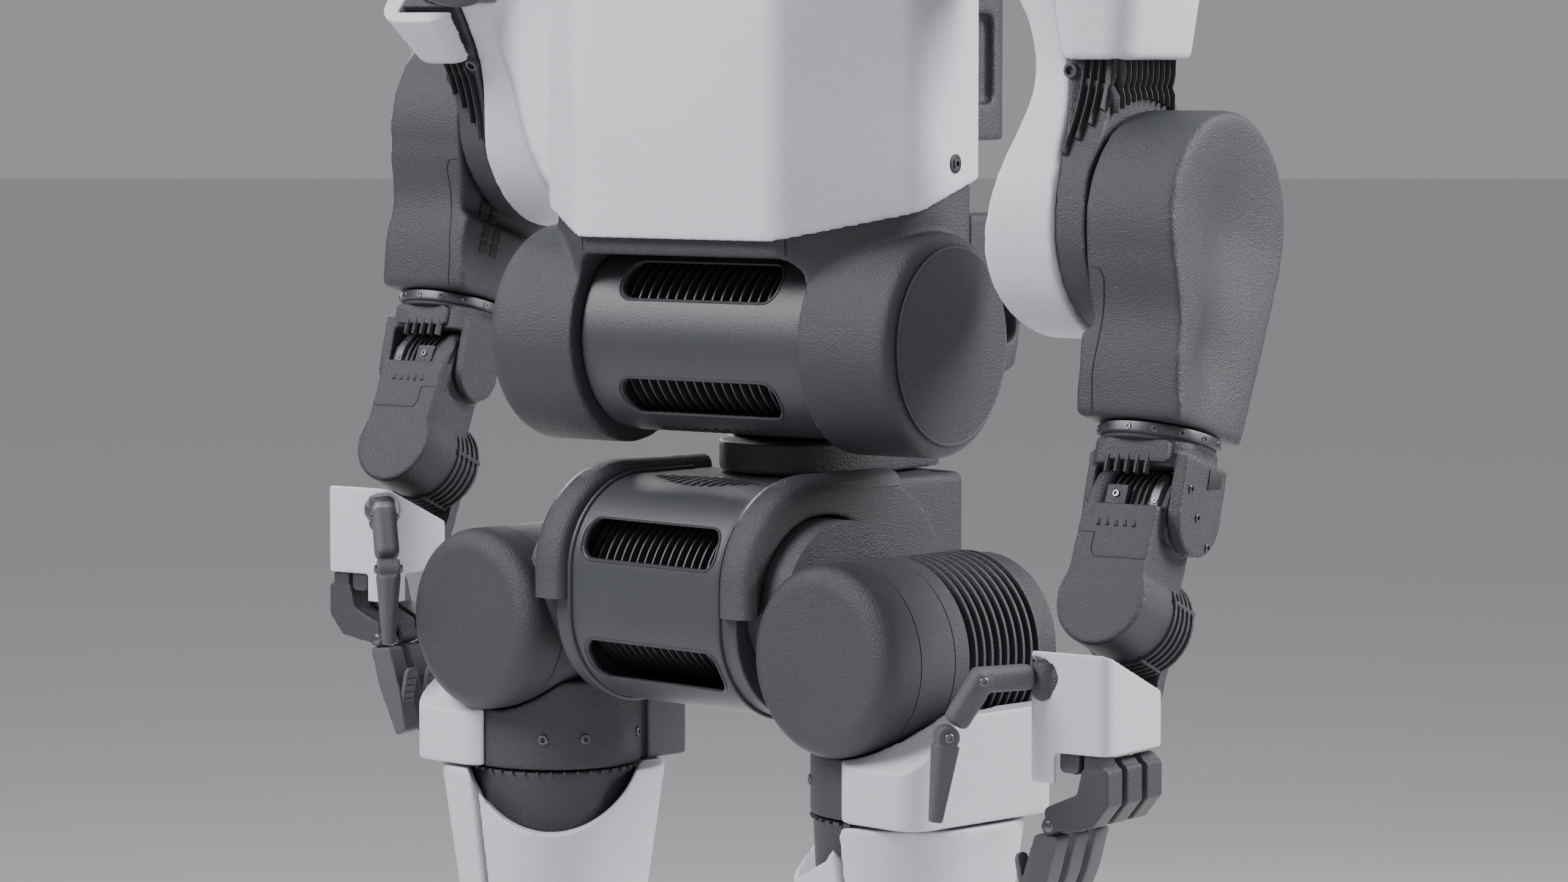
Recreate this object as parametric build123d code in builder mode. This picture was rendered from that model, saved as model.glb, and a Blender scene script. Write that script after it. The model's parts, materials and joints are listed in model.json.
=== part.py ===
"""Full-size humanoid robot: pelvis, torso, head, two arms with three-finger hands, two legs.

Frame: +Z up, the robot faces -Y, its left side is +X, the floor is Z = 0.
Inside the functions Y = 0 is the hip pitch axis; save() moves the finished parts to the
frame's origin, under the middle of the whole robot. Left-side parts are modelled once and
mirrored. The torso, head and arms are modelled square to the pelvis and then turned about
the waist bearing by TORSO_YAW.
"""

import os

from build123d import *

# ---------------------------------------------------------------- driving dimensions (mm, degrees)
ORIGIN_X = -7.984
ORIGIN_Y = -48.823
PELVIS_Z = 985.0  # hip pitch axis
YAW_Y = 126.0  # waist bearing axis
WAIST_Y = 22.0  # waist pitch axis
WAIST_Z = PELVIS_Z + 241.0
TORSO_YAW = 10.0  # how far the torso is turned on the waist bearing at rest
GAP = 1.5  # gap between bodies that move past each other

# pelvis and waist barrels
BARREL_HALF = 122.0
BARREL_WALL = 7.0
PELVIS_FRONT = 92.0
PELVIS_REAR = 108.0
PELVIS_HALF_HEIGHT = 108.0
WAIST_R = 91.0
VENT_HALF = 88.0
VENT_ROUND = 14.0
FIN_PITCH = 10.5
FIN_THICK = 1.8
HOOD_OUT = 146.0
HUB_R = 80.0

# waist side housings and torso
SIDE_R = 104.0
SIDE_IN = 129.0
SIDE_OUT = 230.0
CAP_R = 90.5
SHELL_FRONT_HALF = 111.5
SHELL_HALF = 215.0
SHELL_FRONT = 116.5  # ahead of the waist pitch axis
SHELL_CORNER = 28.0
SHELL_REAR = 71.0  # behind the waist pitch axis
SHELL_BOTTOM = 95.0  # above the waist pitch axis, at the front
SHELL_TOP = 412.0
SHELL_SLANT = 0.294  # rise of the lower edge towards the rear
SHELL_WALL = 6.0
NECK_R = 42.0
HEAD_Z = WAIST_Z + SHELL_TOP + 60.0  # head pitch axis
HEAD_TOP = HEAD_Z + 182.0

# leg
HIP_X = 236.5
ROLL_Z = PELVIS_Z - 37.0
ROLL_R = 88.0
ROLL_FRONT = -104.0
ROLL_REAR = 100.0
LEG_Y = 10.0  # hip yaw, knee and ankle axes
THIGH_R = 85.0
SEAM_Z = PELVIS_Z - 184.0  # hip yaw joint
KNEE_Z = 530.0
KNEE_R = 60.0
KNEE_HALF = 38.0
ANKLE_Z = 98.0
FOOT_ROLL_Z = 66.0

# arm
ARM_Y = 30.0  # shoulder and elbow axes
SHOULDER_X = 345.0
SHOULDER_Z = WAIST_Z + 400.0
SHOULDER_R = 62.0
UPPER_X = 385.0  # upper arm yaw axis
ARM_SEAM_Z = SHOULDER_Z - 70.0  # upper arm yaw joint
ELBOW_Z = WAIST_Z + 114.0
ELBOW_R = 103.0
STRAP_IN = 328.0
STRAP_OUT = 396.0
ELBOW_SEAM = 428.0
ELBOW_OUT = 519.0
FOREARM_X = 478.0
FOREARM_TILT = 16.0
RING_DROP = 186.0  # elbow axis to the forearm ring
RING_R = 57.0
WRIST_DROP = 260.0  # elbow axis to the wrist pitch axis
WRIST_TILT = 24.0
SWING_DROP = 92.0  # wrist pitch axis to the wrist swing axis
SWING_R = 44.0

RIGHT_SWING = 44.0  # the right arm hangs further back than the left at rest, its elbow bent as much

# hand, in the robot's frame
PALM_IN = 438.0
PALM_OUT = 520.0
PALM_FRONT = -176.0
PALM_REAR = -80.0
PALM_BOTTOM = 866.0
PALM_TOP = 981.0
FINGER_PITCH = 33.0
FINGER_WIDE = 25.0
FINGER_Y = PALM_FRONT + 16  # middle of the front finger
KNUCKLE_Z = PALM_BOTTOM + 14
FINGER_X = PALM_IN + 20  # the fingertips' hinge
THUMB_ROOT = Vector(PALM_IN + 8, PALM_FRONT + 2, 958)
THUMB_STUB = THUMB_ROOT + Vector(12, 14, 0)  # the thumb turns on this stub
THUMB_ELBOW = Vector(414, -212, 956)
THUMB_TIP_AXIS = Vector(392, -232, 908)
THUMB_END = Vector(386, -240, 834)

# derived frames
ORIGIN = Location((ORIGIN_X, ORIGIN_Y, 0))
TORSO_TURN = Location((0, YAW_Y, 0)) * Location((0, 0, 0), (0, 0, TORSO_YAW)) * Location((0, -YAW_Y, 0))
FOREARM_AT = Location((FOREARM_X, ARM_Y, ELBOW_Z), (-FOREARM_TILT, 0, 0))
WRIST_AT = FOREARM_AT * Location((0, 0, -WRIST_DROP), (FOREARM_TILT - WRIST_TILT, 0, 0))
SWING_AT = WRIST_AT * Location((0, 0, -SWING_DROP))


def turned_about(point, angles):
    """A turn about a fixed point."""
    back = Location((-point[0], -point[1], -point[2]))
    return Location(point) * Location((0, 0, 0), angles) * back


RIGHT_SHOULDER = turned_about((-SHOULDER_X, ARM_Y, SHOULDER_Z), (RIGHT_SWING, 0, 0))
RIGHT_FOREARM = RIGHT_SHOULDER * turned_about((-FOREARM_X, ARM_Y, ELBOW_Z), (-RIGHT_SWING, 0, 0))


# ---------------------------------------------------------------- helpers
def save(part, name, turn=Location()):
    """Writes one node."""
    node = part.moved(ORIGIN * turn)
    node.label = name
    export_step(node, f"parts/{name}.step")


def save_pair(part, name, turn=Location(), right_pose=Location()):
    """Writes the left part and its mirror image, in the right side's own pose, as two nodes."""
    save(part, f"left_{name}", turn)
    save(mirror(part, about=Plane.YZ), f"right_{name}", turn * right_pose)


def side_plane(x):
    """A sketch plane across X: its own x is Y and its own y is Z."""
    return Plane(origin=(x, 0, 0), x_dir=(0, 1, 0), z_dir=(1, 0, 0))


def front_plane(y):
    """A sketch plane across Y: its own x is X, its own y is Z, and it extrudes towards -Y."""
    return Plane(origin=(0, y, 0), x_dir=(1, 0, 0), z_dir=(0, -1, 0))


def finned_drum(core_r, fin_r, half):
    """A motor drum along X with round cooling fins, centred on the origin."""
    count = int(half // FIN_PITCH)
    with BuildPart() as drum:
        with BuildSketch(side_plane(-half - 4)):
            Circle(core_r)
        extrude(amount=2 * half + 8)
        for k in range(-count, count + 1):
            with BuildSketch(side_plane(k * FIN_PITCH - FIN_THICK / 2)):
                Circle(fin_r)
            extrude(amount=FIN_THICK)
    return drum.part


# ---------------------------------------------------------------- pelvis (root)
def pelvis_housing():
    """Hollow middle barrel, round in front, with two front vents and a fan of slots on top."""
    middle_y = (PELVIS_REAR - PELVIS_FRONT) / 2
    depth = PELVIS_REAR + PELVIS_FRONT
    height = 2 * PELVIS_HALF_HEIGHT
    with BuildPart() as p:
        with BuildSketch(side_plane(-BARREL_HALF)) as outline:
            with Locations((middle_y, PELVIS_Z)):
                Rectangle(depth, height)
            fillet(outline.vertices().group_by(Axis.X)[0], 90)
            fillet(outline.vertices().group_by(Axis.X)[-1], 16)
        extrude(amount=2 * BARREL_HALF)
        inside = BARREL_HALF - 9
        with BuildSketch(side_plane(-inside)) as hollow:
            with Locations((middle_y, PELVIS_Z)):
                Rectangle(depth - 2 * BARREL_WALL, height - 2 * BARREL_WALL)
            fillet(hollow.vertices().group_by(Axis.X)[0], 90 - BARREL_WALL)
        extrude(amount=2 * inside, mode=Mode.SUBTRACT)
        with BuildSketch(front_plane(-10)):
            with Locations((0, PELVIS_Z + 52), (0, PELVIS_Z - 62)):
                RectangleRounded(2 * VENT_HALF, 36, VENT_ROUND)
        extrude(amount=110, mode=Mode.SUBTRACT)
        with BuildSketch(Plane.XY.offset(PELVIS_Z + 90)):
            for k in range(-6, 7):
                with Locations((k * 11, -6)):
                    SlotOverall(46 - k * k, 5, rotation=90)
        extrude(amount=30, mode=Mode.SUBTRACT)
    return p.part


def pelvis_actuator():
    """Finned double motor inside the pelvis, seen through the vents."""
    return finned_drum(64, 82, 96).moved(Location((0, 4, PELVIS_Z)))


def pelvis_rear_housing():
    """Box behind the pelvis under the rear half of the waist bearing."""
    depth = 126.0
    with BuildPart() as p:
        with BuildSketch(Plane.XY.offset(PELVIS_Z + 6)):
            with Locations((0, PELVIS_REAR + depth / 2 + 0.5)):
                RectangleRounded(222, depth, 20)
        extrude(amount=PELVIS_HALF_HEIGHT - 6)
        fillet(p.faces().sort_by(Axis.Z)[-1].edges(), 8)
        fillet(p.faces().sort_by(Axis.Z)[0].edges(), 14)
        with BuildSketch(Plane.XY.offset(PELVIS_Z + PELVIS_HALF_HEIGHT - 5)):
            with Locations((84, 214), (-84, 214)):
                SlotOverall(30, 10)
        extrude(amount=12, mode=Mode.SUBTRACT)
    return p.part


def pelvis_side_cover():
    """Left hood over the hip pitch hub, cut off level below."""
    low = PELVIS_Z - 5
    with BuildPart() as p:
        with BuildSketch(side_plane(BARREL_HALF + 0.5)) as outline:
            with Locations((32, low + 60)):
                Rectangle(258, 120)
            fillet(outline.vertices().group_by(Axis.Y)[-1], 104)
            with Locations((0, PELVIS_Z)):
                Circle(HUB_R + 3, mode=Mode.SUBTRACT)
        extrude(amount=HOOD_OUT - BARREL_HALF - 0.5)
    return p.part


# ---------------------------------------------------------------- waist (turns on the pelvis)
def waist_bearing():
    """Yaw disc on the pelvis with the riser that holds the waist barrel from behind."""
    base = PELVIS_Z + PELVIS_HALF_HEIGHT + GAP
    with BuildPart() as p:
        with BuildSketch(Plane.XY.offset(base)):
            with Locations((0, YAW_Y)):
                Circle(86)
        extrude(amount=30)
        fillet(p.faces().sort_by(Axis.Z)[0].edges(), 5)
        with BuildSketch(Plane.XY.offset(base + 1)):
            with Locations((0, YAW_Y + 45)):
                RectangleRounded(168, 130, 14)
        extrude(amount=104)
        with BuildSketch(side_plane(-120)):
            with Locations((WAIST_Y, WAIST_Z)):
                Circle(WAIST_R + 0.5)
        extrude(amount=240, mode=Mode.SUBTRACT)
    return p.part


def waist_barrel():
    """Hollow waist barrel with two front vents and a row of slots below."""
    with BuildPart() as p:
        with BuildSketch(side_plane(-BARREL_HALF - 4)):
            with Locations((WAIST_Y, WAIST_Z)):
                Circle(WAIST_R)
        extrude(amount=2 * BARREL_HALF + 8)
        chamfer(p.edges().filter_by(GeomType.CIRCLE), 1.2)
        inside = BARREL_HALF - 6
        with BuildSketch(side_plane(-inside)):
            with Locations((WAIST_Y, WAIST_Z)):
                Circle(WAIST_R - BARREL_WALL)
        extrude(amount=2 * inside, mode=Mode.SUBTRACT)
        with BuildSketch(front_plane(WAIST_Y - 10)):
            with Locations((0, WAIST_Z + 55), (0, WAIST_Z - 53)):
                RectangleRounded(2 * VENT_HALF, 32, VENT_ROUND)
        extrude(amount=110, mode=Mode.SUBTRACT)
        with BuildSketch(Plane.XY.offset(WAIST_Z - 100)):
            for k in range(-6, 7):
                with Locations((k * 12, WAIST_Y - 18)):
                    SlotOverall(30, 5, rotation=90)
        extrude(amount=30, mode=Mode.SUBTRACT)
    return p.part


def waist_actuator():
    """Finned motor inside the waist barrel."""
    return finned_drum(60, 79, 100).moved(Location((0, WAIST_Y, WAIST_Z)))


# ---------------------------------------------------------------- torso (pitches on the waist barrel)
def chest_outline(inset):
    """Corners of the chest seen from above, moved in from the white shell's outer face."""
    front = WAIST_Y - SHELL_FRONT + inset
    corner = WAIST_Y - SHELL_CORNER + inset / 3
    rear = WAIST_Y + SHELL_REAR
    tip = SHELL_FRONT_HALF - inset / 3
    side = SHELL_HALF - inset
    left = [(tip, front), (side, corner), (side, rear)]
    return [(-x, y) for x, y in reversed(left)] + left


def torso_frame():
    """Dark lower frame: two round side housings joined above the waist barrel."""
    with BuildPart() as p:
        with BuildSketch(side_plane(-SIDE_OUT)):
            with Locations((WAIST_Y, WAIST_Z)):
                Circle(SIDE_R)
        extrude(amount=2 * SIDE_OUT)
        ends = p.faces().filter_by(Axis.X).sort_by(Axis.X)
        fillet(ends[0].edges() + ends[-1].edges(), 13)
        with BuildSketch(Plane.XY.offset(WAIST_Z + 20)) as chest:
            with BuildLine():
                Polyline(*chest_outline(SHELL_WALL + 3), close=True)
            make_face()
            fillet(chest.vertices().filter_by(lambda v: v.Y < WAIST_Y), 30)
        extrude(amount=165)
        with BuildSketch(side_plane(-SIDE_IN)):
            with Locations((WAIST_Y, WAIST_Z)):
                Circle(WAIST_R + GAP)
            with Locations((WAIST_Y, WAIST_Z - 62)):
                Rectangle(420, 124)
            with Locations((WAIST_Y + 105, WAIST_Z - 12)):
                Rectangle(210, 200)
        extrude(amount=2 * SIDE_IN, mode=Mode.SUBTRACT)
        with BuildSketch(front_plane(WAIST_Y)):
            with Locations((0, WAIST_Z - 20)):
                RectangleRounded(2 * SIDE_IN, 200, 24)
        extrude(amount=150, mode=Mode.SUBTRACT)
    return p.part


def waist_end_caps():
    """Two flat discs closing the side housings."""
    with BuildPart() as p:
        for x in (SIDE_OUT + 0.2, -SIDE_OUT - 3.2):
            with BuildSketch(side_plane(x)):
                with Locations((WAIST_Y, WAIST_Z)):
                    Circle(CAP_R - 2)
            extrude(amount=3)
    return p.part


def torso_core():
    """Dark chest block inside and behind the white shell, with a recess in each side."""
    with BuildPart() as p:
        with BuildSketch(Plane.XY.offset(WAIST_Z + 186)):
            with Locations((0, WAIST_Y + 62)):
                RectangleRounded(404, 186, 34)
        extrude(amount=SHELL_TOP - 186 - 10)
        fillet(p.faces().sort_by(Axis.Z)[-1].edges(), 16)
        for x in (192, -210):
            with BuildSketch(side_plane(x)):
                with Locations((WAIST_Y + 100, WAIST_Z + 262)):
                    RectangleRounded(34, 84, 10)
            extrude(amount=18, mode=Mode.SUBTRACT)
    return p.part


def torso_handles():
    """Two loops behind the side housings for lifting the robot."""
    with BuildPart() as p:
        for x in (166, -206):
            with BuildSketch(side_plane(x)):
                with BuildLine():
                    Polyline(
                        (WAIST_Y + 70, WAIST_Z + 118),
                        (WAIST_Y + 150, WAIST_Z + 118),
                        (WAIST_Y + 172, WAIST_Z + 60),
                        (WAIST_Y + 150, WAIST_Z - 26),
                        (WAIST_Y + 106, WAIST_Z - 44),
                        (WAIST_Y + 70, WAIST_Z - 40),
                        close=True,
                    )
                make_face()
                with Locations((WAIST_Y + 138, WAIST_Z + 34)):
                    SlotOverall(76, 26, rotation=90, mode=Mode.SUBTRACT)
            extrude(amount=40)
        with BuildSketch(side_plane(-SIDE_OUT)):
            with Locations((WAIST_Y, WAIST_Z)):
                Circle(SIDE_R + 0.5)
        extrude(amount=2 * SIDE_OUT, mode=Mode.SUBTRACT)
        with BuildSketch(Plane.XY.offset(WAIST_Z)):
            with Locations((0, WAIST_Y)):
                Rectangle(2 * SIDE_OUT, 2 * SHELL_REAR + 0.4)
        extrude(amount=185, mode=Mode.SUBTRACT)
    return p.part


def torso_front_shell():
    """White chest shell: flat front, broad chamfered corners, lower edge rising to the rear."""
    front = WAIST_Y - SHELL_FRONT
    rear = WAIST_Y + SHELL_REAR
    low = WAIST_Z + SHELL_BOTTOM
    rise = (rear - front + 20) * SHELL_SLANT
    with BuildPart() as p:
        with BuildSketch(Plane.XY.offset(low)):
            with BuildLine():
                Polyline(*chest_outline(0), close=True)
            make_face()
        extrude(amount=WAIST_Z + SHELL_TOP - low)
        upright = p.edges().filter_by(Axis.Z).filter_by(lambda e: e.center().Y < WAIST_Y)
        fillet(upright, 36)
        with BuildSketch(side_plane(-SHELL_HALF - 10)):
            with BuildLine():
                Polyline(
                    (front - 1, low - 1),
                    (front - 1, low),
                    (rear + 20, low + rise),
                    (rear + 20, low - 1),
                    close=True,
                )
            make_face()
        extrude(amount=2 * SHELL_HALF + 20, mode=Mode.SUBTRACT)
        outer = p.edges().filter_by(lambda e: e.center().Y < rear - 2)
        fillet(outer.filter_by(lambda e: e.center().Z > WAIST_Z + SHELL_TOP - 0.1), 30)
        open_rear = p.faces().filter_by(Axis.Y).sort_by(Axis.Y)[-1]
        open_bottom = p.faces().sort_by(Axis.Z)[0]
        offset(amount=-SHELL_WALL, openings=[open_rear, open_bottom])
    return p.part


# ---------------------------------------------------------------- neck and head
def neck_post():
    """Turning neck on top of the chest."""
    base = WAIST_Z + SHELL_TOP + GAP
    with BuildPart() as p:
        with BuildSketch(Plane.XY.offset(base)):
            with Locations((0, ARM_Y)):
                Circle(NECK_R + 10)
        extrude(amount=10)
        with BuildSketch(Plane.XY.offset(base + 9)):
            with Locations((0, ARM_Y)):
                Circle(NECK_R)
        extrude(amount=24)
        with BuildSketch(side_plane(-18)):
            with Locations((ARM_Y, HEAD_Z)):
                Circle(22)
            with Locations((ARM_Y, HEAD_Z - 17)):
                Rectangle(44, 34)
        extrude(amount=36)
    return p.part


def head_shell():
    """Smooth head, open below where the neck's pivot enters."""
    with BuildPart() as p:
        with BuildSketch(Plane.XY.offset(HEAD_Z - 12)):
            with Locations((0, ARM_Y)):
                RectangleRounded(124, 150, 56)
        with BuildSketch(Plane.XY.offset(HEAD_Z + 76)):
            with Locations((0, ARM_Y - 4)):
                RectangleRounded(156, 190, 70)
        with BuildSketch(Plane.XY.offset(HEAD_TOP)):
            with Locations((0, ARM_Y)):
                RectangleRounded(120, 140, 52)
        loft()
        fillet(p.faces().sort_by(Axis.Z)[-1].edges(), 30)
        with BuildSketch(side_plane(-20)):
            with Locations((ARM_Y, HEAD_Z)):
                Circle(24)
            with Locations((ARM_Y, HEAD_Z - 30)):
                Rectangle(120, 60)
        extrude(amount=40, mode=Mode.SUBTRACT)
        with BuildSketch(front_plane(ARM_Y - 74)):
            with Locations((0, HEAD_Z + 78)):
                RectangleRounded(126, 92, 40)
        extrude(amount=60, mode=Mode.SUBTRACT)
    return p.part


def head_visor():
    """Dark sensor window set in the front of the head."""
    with BuildPart() as p:
        with BuildSketch(front_plane(ARM_Y - 74.5)):
            with Locations((0, HEAD_Z + 78)):
                RectangleRounded(124, 90, 39)
        extrude(amount=16)
        fillet(p.faces().sort_by(Axis.Y)[0].edges(), 9)
    return p.part


# ---------------------------------------------------------------- left leg
def hip_motor():
    """Hip pitch hub with the roll motor across it: round cap, two seams, cooling fins."""
    plain_end = 4.0
    with BuildPart() as p:
        with BuildSketch(front_plane(plain_end)):
            with Locations((HIP_X, ROLL_Z)):
                Circle(ROLL_R)
        extrude(amount=plain_end - ROLL_FRONT)
        fillet(p.faces().sort_by(Axis.Y)[0].edges(), 20)
        for seam in (-58, -14):
            with BuildSketch(front_plane(seam)):
                with Locations((HIP_X, ROLL_Z)):
                    Circle(ROLL_R + 1)
                    Circle(ROLL_R - 1, mode=Mode.SUBTRACT)
            extrude(amount=1.2, mode=Mode.SUBTRACT)
        with BuildSketch(front_plane(ROLL_REAR)):
            with Locations((HIP_X, ROLL_Z)):
                Circle(ROLL_R - 13)
        extrude(amount=ROLL_REAR)
        for k in range(9):
            with BuildSketch(front_plane(ROLL_REAR - k * FIN_PITCH)):
                with Locations((HIP_X, ROLL_Z)):
                    Circle(ROLL_R - 0.5)
            extrude(amount=3)
        with BuildSketch(side_plane(BARREL_HALF + 2)):
            with Locations((0, PELVIS_Z)):
                Circle(HUB_R)
        extrude(amount=50)
    return p.part


def hip_yoke():
    """Rear plate on the roll motor's shaft and the round deck under the motor."""
    plate_front = ROLL_REAR + GAP
    with BuildPart() as p:
        with BuildSketch(Plane.XY.offset(SEAM_Z + GAP / 2)):
            with Locations((HIP_X, LEG_Y)):
                Circle(THIGH_R)
            with Locations((HIP_X, LEG_Y + 90)):
                Rectangle(130, 50)
        extrude(amount=ROLL_Z - 60 - SEAM_Z)
        with BuildSketch(front_plane(plate_front + 26)):
            with Locations((HIP_X, ROLL_Z)):
                Circle(ROLL_R - 4)
            with Locations((HIP_X, (ROLL_Z + SEAM_Z) / 2 + 1)):
                Rectangle(130, ROLL_Z - SEAM_Z - 2)
        extrude(amount=26)
        with BuildSketch(front_plane(plate_front)):
            with Locations((HIP_X, ROLL_Z)):
                Circle(ROLL_R + GAP)
        extrude(amount=250, mode=Mode.SUBTRACT)
        with BuildSketch(front_plane(plate_front + 40)):
            with Locations((HIP_X, ROLL_Z)):
                with PolarLocations(60, 8):
                    Circle(4)
        extrude(amount=17, mode=Mode.SUBTRACT)
    return p.part


def upper_thigh_cover():
    """White cover round the front and outside of the hip yoke, under the roll motor."""
    low = SEAM_Z + GAP
    with BuildPart() as p:
        with BuildSketch(Plane.XY.offset(low)):
            with Locations((HIP_X + 54, LEG_Y)):
                RectangleRounded(104, 196, 26)
            with Locations((HIP_X, LEG_Y)):
                Circle(THIGH_R + 0.5, mode=Mode.SUBTRACT)
            with Locations((HIP_X, LEG_Y + 104)):
                Rectangle(134, 84, mode=Mode.SUBTRACT)
        extrude(amount=100)
        with BuildSketch(front_plane(130)):
            with Locations((HIP_X, ROLL_Z)):
                Circle(ROLL_R + GAP)
        extrude(amount=300, mode=Mode.SUBTRACT)
        with BuildSketch(side_plane(HIP_X - 10)):
            with BuildLine():
                Polyline(
                    (LEG_Y - 100, low + 50),
                    (LEG_Y - 30, low + 101),
                    (LEG_Y - 100, low + 101),
                    close=True,
                )
            make_face()
        extrude(amount=140, mode=Mode.SUBTRACT)
    return p.part


def thigh_loft(grow, top, low):
    """Thigh body between the yaw joint and the knee, grown outwards by the given amount."""
    with BuildPart() as p:
        with BuildSketch(Plane.XY.offset(top)):
            with Locations((HIP_X, LEG_Y)):
                RectangleRounded(2 * (82 + grow), 2 * (82 + grow), 81 + grow)
        with BuildSketch(Plane.XY.offset(low)):
            with Locations((HIP_X, LEG_Y)):
                RectangleRounded(2 * (66 + grow), 2 * (62 + grow), 40 + grow)
        loft()
    return p.part


def thigh_core():
    """Dark thigh beam with the two knee cheeks."""
    low = KNEE_Z + 92
    with BuildPart() as p:
        add(thigh_loft(0, SEAM_Z - GAP / 2, low))
        for x in (HIP_X - 64, HIP_X + 39.5):
            with BuildSketch(side_plane(x)):
                with Locations((LEG_Y, KNEE_Z)):
                    Circle(56)
                with Locations((LEG_Y, KNEE_Z + 46)):
                    Rectangle(104, 92)
            extrude(amount=24.5)
    return p.part


def thigh_shells():
    """Two thick white half shells: the outer one level on top, the inner one scooped."""
    top = SEAM_Z - GAP
    low = KNEE_Z + 93
    with BuildPart() as p:
        with BuildSketch(Plane.XY.offset(top)):
            with Locations((HIP_X + 2, LEG_Y)):
                RectangleRounded(210, 200, 84)
        with BuildSketch(Plane.XY.offset(low)):
            with Locations((HIP_X + 2, LEG_Y)):
                RectangleRounded(160, 150, 60)
        loft()
        add(thigh_loft(1.2, top + 1, low - 1), mode=Mode.SUBTRACT)
        with BuildSketch(Plane.XY.offset(low - 1)):
            with Locations((HIP_X + 10, LEG_Y)):
                Rectangle(7, 260)
        extrude(amount=top - low + 2, mode=Mode.SUBTRACT)
        scoop = Plane(origin=(HIP_X, LEG_Y, top + 30), x_dir=(1, -1, 0), z_dir=(-1, -1, 0))
        with BuildSketch(scoop):
            Circle(87)
        extrude(amount=200, mode=Mode.SUBTRACT)
    return p.part


def shin():
    """Shin with the knee hub above and the ankle fork below."""
    with BuildPart() as p:
        for z, wide, deep, round_r in (
            (KNEE_Z - 62, 112, 108, 40),
            (KNEE_Z - 170, 126, 128, 52),
            (ANKLE_Z + 62, 96, 84, 34),
        ):
            with BuildSketch(Plane.XY.offset(z)):
                with Locations((HIP_X, LEG_Y)):
                    RectangleRounded(wide, deep, round_r)
        loft()
        with BuildSketch(side_plane(HIP_X - KNEE_HALF)):
            with Locations((LEG_Y, KNEE_Z)):
                Circle(KNEE_R)
            with Locations((LEG_Y, KNEE_Z - 40)):
                Rectangle(96, 60)
        extrude(amount=2 * KNEE_HALF)
        for x in (HIP_X - 48, HIP_X + 34):
            with BuildSketch(side_plane(x)):
                with Locations((LEG_Y, ANKLE_Z)):
                    Circle(27)
                with Locations((LEG_Y, ANKLE_Z + 34)):
                    Rectangle(54, 68)
            extrude(amount=14)
    return p.part


def ankle():
    """Cross block: pitch barrel in the shin's fork, roll barrel in the foot's posts."""
    with BuildPart() as p:
        with BuildSketch(side_plane(HIP_X - 33)):
            with Locations((LEG_Y, ANKLE_Z)):
                Circle(25)
        extrude(amount=66)
        with BuildSketch(front_plane(LEG_Y + 33)):
            with Locations((HIP_X, FOOT_ROLL_Z)):
                Circle(18)
            with Locations((HIP_X, ANKLE_Z - 14)):
                Rectangle(36, 28)
        extrude(amount=66)
    return p.part


def foot():
    """Foot plate with rounded toe and heel and two posts for the roll barrel."""
    with BuildPart() as p:
        with BuildSketch(Plane.XY):
            with Locations((HIP_X, LEG_Y - 48)):
                RectangleRounded(104, 272, 46)
        extrude(amount=30)
        fillet(p.faces().sort_by(Axis.Z)[-1].edges(), 9)
        fillet(p.faces().sort_by(Axis.Z)[0].edges(), 4)
        for y in (LEG_Y - 34.5, LEG_Y + 52.5):
            with BuildSketch(front_plane(y)):
                with Locations((HIP_X, FOOT_ROLL_Z)):
                    Circle(18)
                with Locations((HIP_X, 46)):
                    Rectangle(36, 40)
            extrude(amount=18)
    return p.part


# ---------------------------------------------------------------- left arm, upper half
def shoulder_motor():
    """Shoulder pitch hub with the roll motor across it."""
    rear = ARM_Y + 60
    with BuildPart() as p:
        with BuildSketch(front_plane(rear)):
            with Locations((SHOULDER_X, SHOULDER_Z)):
                Circle(SHOULDER_R)
        extrude(amount=132)
        fillet(p.faces().sort_by(Axis.Y)[0].edges(), 16)
        with BuildSketch(side_plane(SHELL_HALF + GAP)):
            with Locations((ARM_Y, SHOULDER_Z)):
                Circle(SHOULDER_R - 6)
        extrude(amount=SHOULDER_X - SHELL_HALF - 20)
    return p.part


def shoulder_yoke():
    """Rear plate on the shoulder roll shaft and the round deck over the upper arm."""
    plate_front = ARM_Y + 60 + GAP
    low = ARM_SEAM_Z + GAP / 2
    with BuildPart() as p:
        with BuildSketch(Plane.XY.offset(low)):
            with Locations((UPPER_X, ARM_Y)):
                Circle(50)
            with Locations((UPPER_X, ARM_Y + 60)):
                Rectangle(80, 46)
        extrude(amount=60)
        with BuildSketch(front_plane(plate_front + 20)):
            with Locations((SHOULDER_X, SHOULDER_Z)):
                Circle(SHOULDER_R - 2)
            with BuildLine():
                Polyline(
                    (SHOULDER_X - 20, SHOULDER_Z),
                    (SHOULDER_X + 60, SHOULDER_Z),
                    (UPPER_X + 40, low),
                    (UPPER_X - 40, low),
                    close=True,
                )
            make_face()
        extrude(amount=20)
        with BuildSketch(front_plane(plate_front)):
            with Locations((SHOULDER_X, SHOULDER_Z)):
                Circle(SHOULDER_R + GAP)
        extrude(amount=200, mode=Mode.SUBTRACT)
    return p.part


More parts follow.
